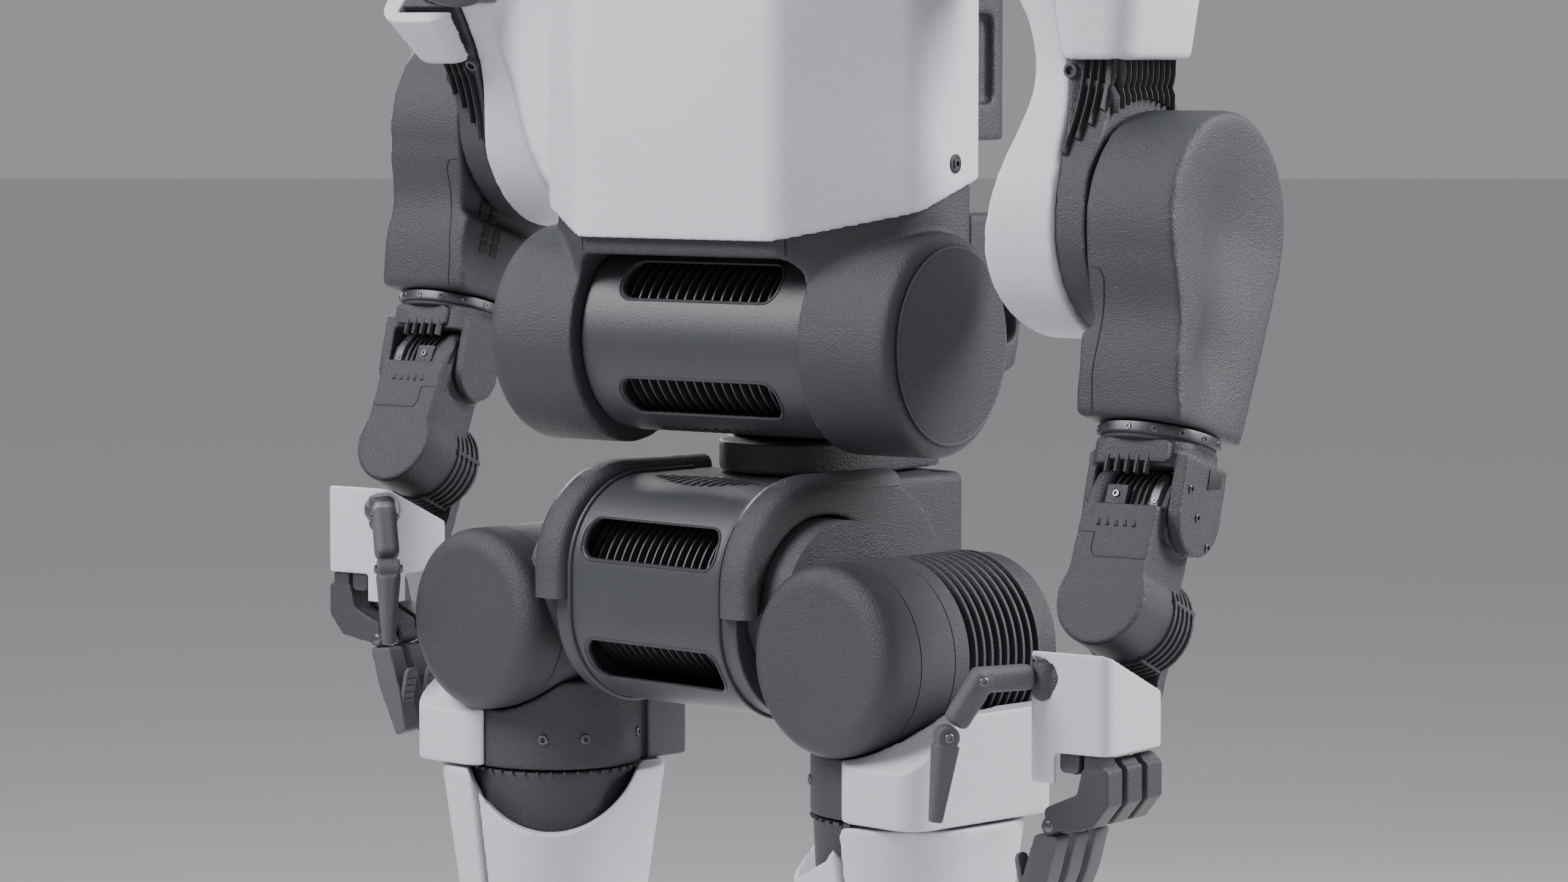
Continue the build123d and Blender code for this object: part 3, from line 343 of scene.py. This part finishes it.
def socket_screw(radius):
    """Screw head with a chamfered edge and a round recess."""
    top, floor = radius * 0.6, radius * 0.15
    rim = [(-0.6, radius), (radius * 0.45, radius), (top, radius * 0.85)]
    recess = [(top, radius * 0.52), (floor, radius * 0.48), (floor, 0)]
    return lathe(rim + recess, 24)


# ---------------------------------------------------------------- skins of the CAD nodes
def soften(node, voxel, rounds, finish, body, keep, shape):
    """Copies a CAD node as a fine mesh with rounded edges and lets the copy stand for it."""
    source = frame["nodes"][node]
    mesh = source.data.copy()
    mesh.materials.clear()
    obj = bpy.data.objects.new(node + "_skin", mesh)
    bpy.context.scene.collection.objects.link(obj)
    remesh = obj.modifiers.new("remesh", "REMESH")
    remesh.mode = "VOXEL"
    remesh.voxel_size = voxel * MM
    smooth = obj.modifiers.new("smooth", "SMOOTH")
    smooth.factor = 0.5
    smooth.iterations = rounds
    thin = obj.modifiers.new("thin", "DECIMATE")
    thin.ratio = keep
    graph = bpy.context.evaluated_depsgraph_get()
    final = bpy.data.meshes.new_from_object(obj.evaluated_get(graph))
    obj.modifiers.clear()
    obj.data = final
    if shape:
        co = np.zeros(len(final.vertices) * 3)
        final.vertices.foreach_get("co", co)
        final.vertices.foreach_set("co", shape(co.reshape(-1, 3)).reshape(-1))
        final.update()
    final.polygons.foreach_set("use_smooth", [True] * len(final.polygons))
    dress(obj, finish)
    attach(obj, body)
    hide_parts(node)
    return obj


def bell(value, centre, width):
    """Smooth bump of height 1."""
    return np.exp(-((value - centre) / width) ** 2)


def step(value, low, high):
    """Smooth rise from 0 to 1."""
    t = np.clip((value - low) / (high - low), 0, 1)
    return t * t * (3 - 2 * t)


def in_frame(matrix, edit):
    """A shape function that edits points in a millimetre frame."""
    there = np.array(matrix.inverted())
    back = np.array(matrix)

    def shape(co):
        local = co @ there[:3, :3].T + there[:3, 3]
        edit(local)
        return local @ back[:3, :3].T + back[:3, 3]

    return shape


def forearm_form(p):
    """Dished outer face that opens downwards, and a waist in front below the elbow disc."""
    x, y, z = p[:, 0].copy(), p[:, 1].copy(), p[:, 2].copy()
    outer = step(x, 8, 30)
    bowl = 12 * bell(y, 14, 54) * bell(z, -4, 62)
    hollow = 10 * bell(y, -2, 36) * bell(z, -116, 46)
    p[:, 0] -= outer * (bowl + hollow)
    front = step(-y, 15, 50)
    p[:, 1] += front * 9 * bell(z, -96, 34)
    p[:, 0] += step(-x, 10, 45) * 7 * bell(z, -130, 40)


def upper_arm_form(p):
    """Sinks the ribbed part of the upper arm."""
    x, y, z = p[:, 0].copy(), p[:, 1].copy(), p[:, 2].copy()
    below_collar = 1 - step(z, 1486, 1500)
    band = step(z, ELBOW_Z + 50, ELBOW_Z + 90) * below_collar
    p[:, 1] += 6 * band * step(ARM_Y - y, 8, 30) * step(x, 385, 398)
    p[:, 0] -= 7 * step(z, ELBOW_Z + 112, ELBOW_Z + 124) * below_collar * step(x, 412, 426)


FORMS = {"forearm": ("forearm", forearm_form), "upper_arm_frame": ("upper", upper_arm_form)}
NODE_BODY = {n: b for b, ns in frame["record"]["behaviour"]["bodies"].items() for n in ns}

# node (without its side), voxel in mm, smoothing rounds, finish, share of faces kept
SKINS = [
    ("torso_frame", 2.5, 16, "dark_housing", 0.5),
    ("waist_barrel", 1.6, 4, "satin_housing", 0.5),
    ("pelvis_housing", 1.8, 5, "satin_housing", 0.5),
    ("pelvis_side_cover", 2.0, 24, "dark_housing", 0.6),
    ("pelvis_rear_housing", 2.2, 6, "dark_housing", 0.5),
    ("waist_bearing", 2.0, 6, "dark_housing", 0.5),
    ("torso_front_shell", 2.4, 9, "white_shell", 0.4),
    ("torso_core", 3.0, 6, "dark_housing", 0.4),
    ("torso_handles", 2.0, 16, "dark_housing", 0.6),
    ("neck_post", 2.0, 5, "metal", 0.6),
    ("head_shell", 2.4, 12, "white_shell", 0.5),
    ("hip_yoke", 2.2, 7, "dark_housing", 0.5),
    ("upper_thigh_cover", 2.0, 9, "white_shell", 0.5),
    ("thigh_core", 2.4, 5, "dark_housing", 0.5),
    ("thigh_shells", 2.4, 10, "white_shell", 0.5),
    ("shin", 2.4, 14, "white_shell", 0.5),
    ("ankle", 1.8, 4, "metal", 0.6),
    ("foot", 2.4, 7, "sole", 0.5),
    ("shoulder_motor", 2.0, 6, "dark_housing", 0.5),
    ("shoulder_yoke", 2.0, 8, "dark_housing", 0.5),
    ("upper_arm_strap", 2.2, 26, "white_shell", 0.6),
    ("upper_arm_frame", 2.0, 8, "dark_housing", 0.6),
    ("upper_arm_cover", 1.8, 7, "white_shell", 0.6),
    ("forearm", 2.6, 46, "dark_housing", 0.7),
    ("wrist_fork", 1.5, 6, "dark_housing", 0.6),
    ("wrist_housing", 1.6, 12, "dark_housing", 0.6),
    ("palm_shell", 1.4, 6, "white_shell", 0.6),
    ("palm_core", 1.6, 4, "dark_housing", 0.6),
    ("thumb_proximal", 1.2, 5, "finger_pad", 0.7),
    ("thumb_distal", 1.2, 6, "finger_pad", 0.7),
    ("fingers_proximal", 1.3, 6, "dark_housing", 0.7),
    ("fingers_distal", 1.3, 6, "finger_pad", 0.7),
]
skins = {}
for base, voxel, rounds, finish, keep in SKINS:
    for node in (base, "left_" + base, "right_" + base):
        if node in NODE_BODY:
            form = None
            if base in FORMS:
                zone, edit = FORMS[base]
                form = in_frame(at(node.split("_")[0], zone), edit)
            skins[node] = soften(node, voxel, rounds, finish, NODE_BODY[node], keep, form)

# nodes whose own shape is shown, with their finishes
for node, finish in (
    ("pelvis_actuator", "metal"),
    ("waist_actuator", "metal"),
    ("waist_end_caps", "cast_face"),
    ("head_visor", "visor"),
    ("left_hip_motor", "dark_housing"),
    ("right_hip_motor", "dark_housing"),
):
    shown = frame["nodes"][node]
    shown.data.materials.clear()
    shown.data.materials.append(MATS[finish])
    smooth_shade(shown.data, 32)


# ---------------------------------------------------------------- added details
X_AXIS, Y_AXIS, Z_AXIS = Vector((1, 0, 0)), Vector((0, 1, 0)), Vector((0, 0, 1))
SEAM_RADIUS = 0.8
AHEAD = -200  # rays along +Y start here, in front of the skins


def draped(node, matrix, points, direction, lift=0.0):
    """Millimetre points dropped along a direction onto a node's skin, then raised by lift."""
    mesh = skins[node].data
    tree = BVHTree.FromPolygons([v.co for v in mesh.vertices], [p.vertices for p in mesh.polygons])
    inverse = matrix.inverted()
    world_dir = (matrix.to_3x3() @ Vector(direction)).normalized()
    found = []
    for p in points:
        hit = tree.ray_cast(matrix @ Vector(p), world_dir)[0]
        if hit is not None:
            found.append(inverse @ hit - Vector(direction).normalized() * lift)
    return found


def spaced(start, end, count):
    return [start + (end - start) * k / (count - 1) for k in range(count)]


def line_points(corners, pitch=4.0):
    """Even points along straight runs between corners."""
    points = []
    for a, b in zip(corners, corners[1:]):
        a, b = Vector(a), Vector(b)
        count = max(2, int((b - a).length / pitch))
        points += [a.lerp(b, k / count) for k in range(count)]
    return points + [Vector(corners[-1])]


def bolt_circle(count, radius, centre, across, up, offset=0.0):
    """Even places on a circle, each with its outward direction."""
    spots = []
    for k in range(count):
        a = 2 * math.pi * (k + offset) / count
        outward = across * math.cos(a) + up * math.sin(a)
        spots.append((outward * radius + Vector(centre), outward))
    return spots


def cooling_fin(radius, wide, depth, height):
    """Closed ring of rectangular section round Z, with softened outer edges."""
    low, high, inner = height - wide / 2, height + wide / 2, radius - depth
    soft = min(wide * 0.3, 0.8)
    lower = [(low, 0), (low, inner), (low, radius - soft), (low + soft, radius)]
    upper = [(high - soft, radius), (high, radius - soft), (high, inner), (high, 0)]
    return lathe(lower + upper, 56)


def screws(spots, radius):
    return [moved(socket_screw(radius), aimed(p, direction)) for p, direction in spots]


def place(name, side, zone, parts, body, finish, angle=40.0):
    """Adds a detail to a side, mirrored on the right, or to the middle when side is empty."""
    prefix = side + "_" if side else ""
    verts, faces = joined(parts)
    if side == "right":
        faces = [tuple(reversed(f)) for f in faces]
    add_piece(prefix + name, verts, faces, at(side, zone), prefix + body, finish, angle)


# ---- pelvis
EDGE_FRONT_Y, EDGE_TOP_Z = -2, 109
EDGE_RADIUS = 91
EDGE_ARC_Z = EDGE_TOP_Z - EDGE_RADIUS
# across the end of the barrel: distance from the middle, height over the barrel's edge
HOOD_SECTION = (
    (106.5, -2), (107.5, 4), (111, 8.5), (117, 10.5), (134, 10.5), (141, 8), (145.5, 3), (147, -4),
)


def pelvis_edge():
    """Upper half of the pelvis barrel's outline in (y, z): its flat top, then an arc to the front."""
    arc = []
    for a in spaced(0, math.pi / 2, 16):
        arc.append((EDGE_FRONT_Y - EDGE_RADIUS * math.sin(a), EDGE_ARC_Z + EDGE_RADIUS * math.cos(a)))
    return [(70, EDGE_TOP_Z), (30, EDGE_TOP_Z)] + arc


def hood(s):
    """Rounded cover over one end of the pelvis barrel, swept along its outline."""
    front = EDGE_FRONT_Y - EDGE_RADIUS
    verts, faces = [], []
    for y, z in [(100, EDGE_TOP_Z)] + pelvis_edge() + [(front, -7)]:
        if z < EDGE_ARC_Z:
            out = -Y_AXIS
        elif y < EDGE_FRONT_Y:
            out = Vector((0, y - EDGE_FRONT_Y, z - EDGE_ARC_Z)).normalized()
        else:
            out = Z_AXIS
        verts += [Vector((s * x, y, PELVIS_Z + z)) + out * lift for x, lift in HOOD_SECTION]
    count = len(HOOD_SECTION)
    last = len(verts) - count
    for i in range(0, last, count):
        for k in range(i, i + count - 1):
            faces.append((k, k + 1, k + count + 1, k + count))
    faces.append(tuple(reversed(range(count))))
    faces.append(tuple(range(last, last + count)))
    if s > 0:
        faces = [tuple(reversed(f)) for f in faces]
    return verts, faces


def vent_rims(name, zone, body, node, centre_z, heights, tall):
    """Thin raised rims round the openings of a barrel."""
    frames = []
    for dz in heights:
        outline = rounded_outline(180, tall, 15, 8)
        points = [(x * 1.012, AHEAD, centre_z + dz + v * 1.05) for x, v in outline]
        spots = draped(node, at("", zone), points, Y_AXIS, 0.2)
        frames.append(tube(spots, 1.3, 6, Y_AXIS, closed=True))
    place(name, "", zone, frames, body, "satin_housing")


def pelvis_details():
    place("pelvis_hoods", "", "pelvis", [hood(-1), hood(1)], "pelvis", "dark_housing", 50.0)
    edge = pelvis_edge()
    outline = edge + [(y, -z) for y, z in reversed(edge)]
    lips = []
    for x in (-101, 101):
        lips.append(tube([(x, y, PELVIS_Z + z) for y, z in outline], 2.4, 8, X_AXIS, flat=0.9))
    place("pelvis_lips", "", "pelvis", lips, "pelvis", "satin_housing")
    vent_rims("pelvis_vent_rims", "pelvis", "pelvis", "pelvis_housing", PELVIS_Z, (52, -62), 37)
    vent_rims("waist_vent_rims", "torso", "waist", "waist_barrel", WAIST_Z, (55, -53), 33)
    spots = []
    for x in (-84, 84):
        spots += [((x, 150, PELVIS_Z + 108), Z_AXIS), ((x, 214, PELVIS_Z + 100), Z_AXIS)]
    place("pelvis_rear_bolts", "", "pelvis", screws(spots, 4.5), "pelvis", "bolt")


# ---- torso
BACK_Y = 176
BOSS_PROFILE = [(-1, 9), (0.8, 9), (1.4, 8), (1.4, 5.6), (-0.5, 5.2), (-0.5, 0)]
CAP_RIM_PROFILE = [(-2.2, 88), (1.2, 91.2), (2.6, 91.6), (3.4, 90.4), (3.0, 88.6), (-2.2, 87)]


def torso_details():
    seams = []
    for x in (-116, 116):
        run = line_points([(x, AHEAD, 1309), (x, AHEAD, 1326)], 3)
        seams.append(tube(draped("torso_frame", TORSO, run, Y_AXIS, 0.1), 0.9, 6, Y_AXIS))
    place("waist_seams", "", "torso", seams, "torso", "recess")
    spot = draped("torso_front_shell", TORSO, [(400, 52, 1392)], -X_AXIS)
    if spot:
        boss = moved(lathe(BOSS_PROFILE, 32), aimed(spot[0], X_AXIS))
        place("chest_boss", "", "torso", [boss], "torso", "recess")
        screw = screws([(spot[0] + X_AXIS * 0.2, X_AXIS)], 4.6)
        place("chest_boss_screw", "", "torso", screw, "torso", "bolt")
    spots = [(Vector((x, BACK_Y + 1, z)), Y_AXIS) for x in (-160, 160) for z in (1430, 1600)]
    place("back_bolts", "", "torso", screws(spots, 6), "torso", "bolt")
    fins = []
    for k in range(9):
        upright = shift(0, BACK_Y, 1440 + k * 13) @ turn(-90, "X")
        fins.append(moved(slab(rounded_outline(220, 5, 2.4), 3, 0.8), upright))
    place("back_fins", "", "torso", fins, "torso", "metal")
    rims = []
    for s in (-1, 1):
        outward = shift(s * 230, WAIST_Y, WAIST_Z) @ turn(90 * s, "Y")
        rims.append(moved(lathe(CAP_RIM_PROFILE, 96), outward))
    place("waist_cap_rims", "", "torso", rims, "torso", "dark_housing")


# ---- arm
RIB_TOP = 1494
ELBOW_CLEAR = 112  # the ribs on the outer face end this far from the elbow axis
ARM_BOSS_PROFILE = [(-2, 7), (3, 7), (4, 6), (4, 4), (0.5, 3.6), (0.5, 0)]


def upper_arm_details(side):
    upper, node = at(side, "upper"), side + "_upper_arm_frame"
    ribs = []

    def add_rib(path, normal):
        if len(path) > 3:
            ribs.append(tube(path, 1.5, 10, normal, flat=3.6))

    for k in range(11):
        y = -20 + k * 9.6
        low = ELBOW_Z + math.sqrt(max(0, ELBOW_CLEAR ** 2 - (y - ARM_Y) ** 2))
        add_rib(draped(node, upper, [(520, y, z) for z in spaced(RIB_TOP, low, 9)], -X_AXIS, 1.5), X_AXIS)
    for k in range(4):
        x = 398 + k * 8.2
        low = ELBOW_Z + 64 + k * 13
        path = draped(node, upper, [(x, AHEAD, z) for z in spaced(RIB_TOP, low, 16)], Y_AXIS, 1.5)
        add_rib([p for p in path if p.y > -120], -Y_AXIS)
    place("arm_ribs", side, "upper", ribs, "upper_arm", "dark_housing")
    spot = draped(node, upper, [(386, AHEAD, 1478)], Y_AXIS)
    if spot:
        boss = moved(lathe(ARM_BOSS_PROFILE, 28), aimed(spot[0], -Y_AXIS))
        place("arm_boss", side, "upper", [boss], "upper_arm", "metal")


# ---- forearm, in its own frame: Z runs up the forearm from the elbow axis
SEAM_CORNERS = [(-44, -58), (-34, -60), (-30, -68), (-34, -110), (-38, -150), (-37, -182)]  # (x, z)
CUFF_CORNERS = [(-60, -56), (-30, -54), (10, -54)]  # (y, z)
COLLAR_PROFILE = [(-188, 50), (-188, 54), (-190, 54.6), (-196, 54.6), (-197.5, 53), (-197.5, 46)]


def forearm_details(side):
    node, fore = side + "_forearm", at(side, "forearm")
    seam = draped(node, fore, line_points([(x, -220, z) for x, z in SEAM_CORNERS]), Y_AXIS, -0.1)
    cuff = draped(node, fore, line_points([(-120, y, z) for y, z in CUFF_CORNERS]), X_AXIS, -0.1)
    lines = [tube(path, SEAM_RADIUS, 6, Y_AXIS) for path in (seam, cuff) if len(path) > 2]
    place("forearm_seams", side, "forearm", lines, "forearm", "recess")
    holes = []
    for row in range(4):
        for column in range(2):
            for p in draped(node, fore, [(-200, -34 + column * 17, -92 - row * 15)], X_AXIS):
                lying = Matrix.Translation(p + X_AXIS * 0.4) @ turn(-90, "Y")
                holes.append(moved(slab(rounded_outline(13, 11, 1.6, 3), 1.2, 0.3), lying))
    place("forearm_vents", side, "forearm", holes, "forearm", "recess")


def fork_details(side):
    place("wrist_collar", side, "forearm", [lathe(COLLAR_PROFILE, 72)], "wrist_fork", "metal")
    spots = bolt_circle(14, 53.6, (0, 0, -193), X_AXIS, Y_AXIS, 0.5)
    place("wrist_collar_bolts", side, "forearm", screws(spots, 3.0), "wrist_fork", "bolt")
    comb = []
    for k in range(5):
        x = -22 + k * 10
        path = [(x, -36, -206), (x, -40, -214), (x, -42.5, -224), (x, -43, -232)]
        comb.append(tube(path, 2.7, 10, -Y_AXIS, flat=1.5))
    comb.append(moved(slab(rounded_outline(66, 20, 5), 9, 2), shift(4, -35, -211) @ turn(90, "X")))
    place("wrist_comb", side, "forearm", comb, "wrist_fork", "dark_housing")
    spots = [(Vector((53.4, y, z)), X_AXIS) for y, z in ((-6, -262), (18, -284), (-24, -240))]
    place("wrist_ear_bolts", side, "forearm", screws(spots, 3.4), "wrist_fork", "bolt")
    notch_frame = shift(53.2, 4, -226) @ turn(90, "Y") @ turn(90, "Z")
    notch = moved(slab([(0, -9), (22, -3), (22, 9), (0, 9)], 1.4, 0.6), notch_frame)
    place("wrist_ear_notch", side, "forearm", [notch], "wrist_fork", "recess")


# ---- wrist, in its own frame: X is the pitch axis, Z runs up towards the forearm
WRIST_DISC_PROFILE = [(22, 0), (22, 36), (23.5, 38.4), (31, 38.4), (33, 36), (33, 0)]
HORN_ROUTE = [(-39, -34), (-41, -14), (-38.5, 4), (-31, 20), (-18, 32), (-2, 38), (14, 35)]  # (y, z)
POD_SEAM_CORNERS = [(-36, -34), (-20, -34), (-20, -50), (-16, -56), (30, -56), (36, -56)]  # (x, z)


def wrist_details(side):
    sideways = turn(90, "Y")
    drum = [moved(cooling_fin(37.6, 2.0, 6, x), sideways) for x in spaced(-16, 16.5, 6)]
    place("wrist_fins", side, "wrist", drum, "wrist", "dark_housing")
    disc = moved(lathe(WRIST_DISC_PROFILE, 64), sideways)
    place("wrist_disc", side, "wrist", [disc], "wrist", "metal")
    spots = bolt_circle(12, 37.6, (28, 0, 0), Y_AXIS, Z_AXIS)
    place("wrist_disc_bolts", side, "wrist", screws(spots, 2.6), "wrist", "bolt")
    plate = moved(slab(rounded_outline(21, 24, 2.5), 6, 1.2), shift(-9, -37, 0) @ turn(90, "X"))
    place("wrist_plate", side, "wrist", [plate], "wrist", "dark_housing")
    spots = [(Vector((-9, -42.6, 3)), -Y_AXIS)]
    place("wrist_plate_bolt", side, "wrist", screws(spots, 3.4), "wrist", "bolt")
    horn = tube([(-29, y, z) for y, z in HORN_ROUTE], 9.5, 16, -Y_AXIS, flat=0.72)
    place("wrist_pod_horn", side, "wrist", [horn], "wrist", "dark_housing")
    comb = []
    for x in (-18, -9, 0, 9, 18):
        comb.append(tube([(x, -40, -10), (x, -43.5, -18), (x, -46, -28)], 2.2, 8, -Y_AXIS, flat=1.4))
    place("wrist_pod_comb", side, "wrist", comb, "wrist", "dark_housing")
    corners = [(x, -120, z) for x, z in POD_SEAM_CORNERS]
    seam = draped(side + "_wrist_housing", at(side, "wrist"), line_points(corners, 3), Y_AXIS, -0.1)
    place("wrist_pod_seams", side, "wrist", [tube(seam, SEAM_RADIUS, 6, Y_AXIS)], "wrist", "recess")


# ---- swing, in its own frame: Y is the swing axis, at the bottom of the wrist
SWING_CAP_PROFILE = [
    (60.2, 0), (60.2, 24), (61.2, 26), (64, 26), (65.5, 24), (65.5, 9), (63.8, 8), (63.8, 0),
]


def swing_details(side):
    backwards = turn(-90, "X")
    rear = [moved(cooling_fin(46.8, 2.6, 7, y), backwards) for y in (8, 16, 24, 32, 40)]
    place("swing_fins", side, "swing", rear, "wrist", "dark_housing")
    bridges = []
    for a in (20, 70, 120, 170, 250, 300):
        d = Vector((math.cos(math.radians(a)), 0, math.sin(math.radians(a))))
        bridges.append(tube([d * 44.6 + Y_AXIS * 5, d * 44.6 + Y_AXIS * 43], 2.6, 8, d))
    place("swing_bridges", side, "swing", bridges, "wrist", "dark_housing")
    cap = moved(lathe(SWING_CAP_PROFILE, 48), backwards)
    place("swing_cap", side, "swing", [cap], "hand", "metal")


# ---- hand
THUMB_STUB = (453, -168, 956)
KNOB_PROFILE = [
    (-19, 0), (-19, 8), (-16, 11.6), (-12, 13), (10, 13), (14, 11.6), (16, 8), (16, 0),
]
FINGER_Y, FINGER_PITCH = -160, 33
AXLE_PROFILE = [(-13.2, 0), (-13.2, 4), (-12.4, 5), (12.4, 5), (13.2, 4), (13.2, 0)]


def thumb_details(side):
    knob = moved(lathe(KNOB_PROFILE, 40), shift(*THUMB_STUB))
    place("thumb_knob", side, "hand", [knob], "thumb", "dark_housing")
    across = Vector((1, -1, 0)).normalized()
    spots = []
    for joint in ((414, -212, 956), (392, -232, 908)):
        spots += [(Vector(joint) + outward * 11.4, outward) for outward in (across, -across)]
    place("thumb_bolts", side, "hand", screws(spots, 4.2), "thumb", "bolt")


def finger_details(side):
    barrels = []
    for x in (479, 503):
        lying = shift(x, -151, 886) @ turn(90, "X")
        barrels.append(moved(slab(rounded_outline(21, 22, 6), 22, 4), lying))
    place("knuckle_barrels", side, "hand", barrels, "hand", "metal")
    tips, palms, ridges, axles = [], [], [], []
    for k in range(3):
        y = FINGER_Y + k * FINGER_PITCH
        lean = shift(430.5, y, 773) @ turn(-102, "Y")
        tips.append(moved(slab(rounded_outline(58, 17, 6), 4.5, 1.8), lean))
        facing = shift(471, y, 829.5) @ turn(188, "Y")
        palms.append(moved(slab(rounded_outline(30, 18, 5), 3, 1.2), facing))
        for j in range(6):
            ridge = slab(rounded_outline(2.2, 14, 1), 1.6, 0.5)
            ridges.append(moved(ridge, lean @ shift(-18 + j * 7, 0, 4)))
        axles.append(moved(lathe(AXLE_PROFILE, 24), shift(458, y, 828) @ turn(90, "X")))
    place("finger_pads", side, "hand", tips + ridges, "fingertips", "finger_pad")
    place("finger_palms", side, "hand", palms, "fingers", "finger_pad")
    place("finger_axles", side, "hand", axles, "fingers", "bolt")


# ---- leg
KNEE_Z = 530
KNEE_CAP_PROFILE = [(0, 0), (0, 38), (1, 40), (4, 40), (5.5, 38), (5.5, 16), (3.5, 14), (3.5, 0)]
TOOTH_COUNT = 40
TEETH_Z, DECK_Z = 797.5, 832
YOKE_BACK_Y = 127.2


def leg_details(side):
    slot_frame = shift(HIP_X - 12, -8, ROLL_Z + 86.2) @ turn(-8, "Y")
    slot = moved(slab(rounded_outline(16, 5, 2.4), 1.2, 0.4), slot_frame)
    place("hip_slot", side, "leg", [slot], "hip", "recess")
    circle = bolt_circle(8, 60, (HIP_X, YOKE_BACK_Y, ROLL_Z), X_AXIS, Z_AXIS)
    spots = [(p, Y_AXIS) for p, _ in circle]
    place("hip_plate_bolts", side, "leg", screws(spots, 3.6), "hip_yoke", "bolt")
    spots = []
    for a in (-158, -130, 150):
        d = Vector((math.cos(math.radians(a)), math.sin(math.radians(a)), 0))
        spots.append((d * 84.2 + Vector((HIP_X, LEG_Y, DECK_Z)), d))
    place("hip_deck_bolts", side, "leg", screws(spots, 5.0), "hip_yoke", "bolt")
    teeth = []
    circle = bolt_circle(TOOTH_COUNT, 82, (HIP_X, LEG_Y, TEETH_Z), X_AXIS, Y_AXIS)
    for k, (p, _) in enumerate(circle):
        tooth_frame = Matrix.Translation(p) @ turn(360 * k / TOOTH_COUNT, "Z")
        teeth.append(moved(slab(rounded_outline(7, 2.4, 1), 3, 0.4), tooth_frame))
    place("yaw_teeth", side, "leg", teeth, "thigh", "metal")
    caps = []
    for s in (-1, 1):
        outward = shift(HIP_X + s * 64, LEG_Y, KNEE_Z) @ turn(90 * s, "Y")
        caps.append(moved(lathe(KNEE_CAP_PROFILE, 56), outward))
    place("knee_caps", side, "leg", caps, "thigh", "metal")
    treads = []
    for k in range(12):
        tread = slab(rounded_outline(84, 6, 2.5), 2.2, 0.6)
        treads.append(moved(tread, shift(HIP_X, -150 + k * 20, 0.2)))
    place("sole_treads", side, "leg", treads, "foot", "sole")


pelvis_details()
torso_details()
for side in SIDES:
    upper_arm_details(side)
    forearm_details(side)
    fork_details(side)
    wrist_details(side)
    swing_details(side)
    thumb_details(side)
    finger_details(side)
    leg_details(side)

# ---------------------------------------------------------------- stage
TARGET = ROOT @ Vector((46.2, 46.2, 1128.8))
VIEW_ROUND, VIEW_UP = math.radians(45), math.radians(4.5)  # from the front, above level
VIEW = Vector((
    math.sin(VIEW_ROUND) * math.cos(VIEW_UP),
    -math.cos(VIEW_ROUND) * math.cos(VIEW_UP),
    math.sin(VIEW_UP),
))
CAMERA_DISTANCE = 4.6


def make_floor():
    mesh = bpy.data.meshes.new("floor")
    bm = bmesh.new()
    bmesh.ops.create_grid(bm, x_segments=40, y_segments=40, size=60)
    bm.to_mesh(mesh)
    bm.free()
    floor = bpy.data.objects.new("floor", mesh)
    bpy.context.scene.collection.objects.link(floor)
    mat, nodes, links = new_material("floor_paint")
    shader = nodes["Principled BSDF"]
    shader.inputs["Roughness"].default_value = 0.8
    texture = nodes.new("ShaderNodeTexNoise")
    texture.inputs["Scale"].default_value = 3.0
    ramp = nodes.new("ShaderNodeValToRGB")
    ramp.color_ramp.elements[0].color = (0.74, 0.74, 0.75, 1)
    ramp.color_ramp.elements[1].color = (0.80, 0.80, 0.81, 1)
    links.new(texture.outputs["Fac"], ramp.inputs["Fac"])
    links.new(ramp.outputs["Color"], shader.inputs["Base Color"])
    mesh.materials.append(mat)


def add_light(name, direction, distance, size, power):
    """Rectangular lamp that shines at the target; sizes in metres, power in watts."""
    data = bpy.data.lights.new(name, "AREA")
    data.shape = "RECTANGLE"
    data.size, data.size_y = size
    data.energy = power
    lamp = bpy.data.objects.new(name, data)
    lamp.location = TARGET + Vector(direction).normalized() * distance
    lamp.rotation_euler = (TARGET - lamp.location).to_track_quat("-Z", "Y").to_euler()
    bpy.context.scene.collection.objects.link(lamp)


make_floor()
add_light("key", (-0.5, -1.0, 1.0), 3.2, (1.2, 1.6), 150)
add_light("fill", (1.2, -0.9, 0.1), 4.0, (2.4, 2.4), 22)
add_light("rim_left", (1.1, 0.9, 0.9), 3.0, (0.6, 2.0), 150)
add_light("rim_right", (-1.2, 0.6, 0.5), 3.4, (0.8, 2.2), 70)
world = bpy.data.worlds.new("studio")
world.use_nodes = True
sky = world.node_tree.nodes["Background"]
sky.inputs["Color"].default_value = (0.74, 0.75, 0.77, 1)
sky.inputs["Strength"].default_value = 0.42
bpy.context.scene.world = world

camera_data = bpy.data.cameras.new("camera")
camera_data.lens = 112.0
camera_data.sensor_width = 36.0
camera_data.clip_end = 60.0
camera = bpy.data.objects.new("camera", camera_data)
camera.location = TARGET + VIEW * CAMERA_DISTANCE
camera.rotation_euler = (-VIEW).to_track_quat("-Z", "Y").to_euler()
bpy.context.scene.collection.objects.link(camera)
bpy.context.scene.camera = camera
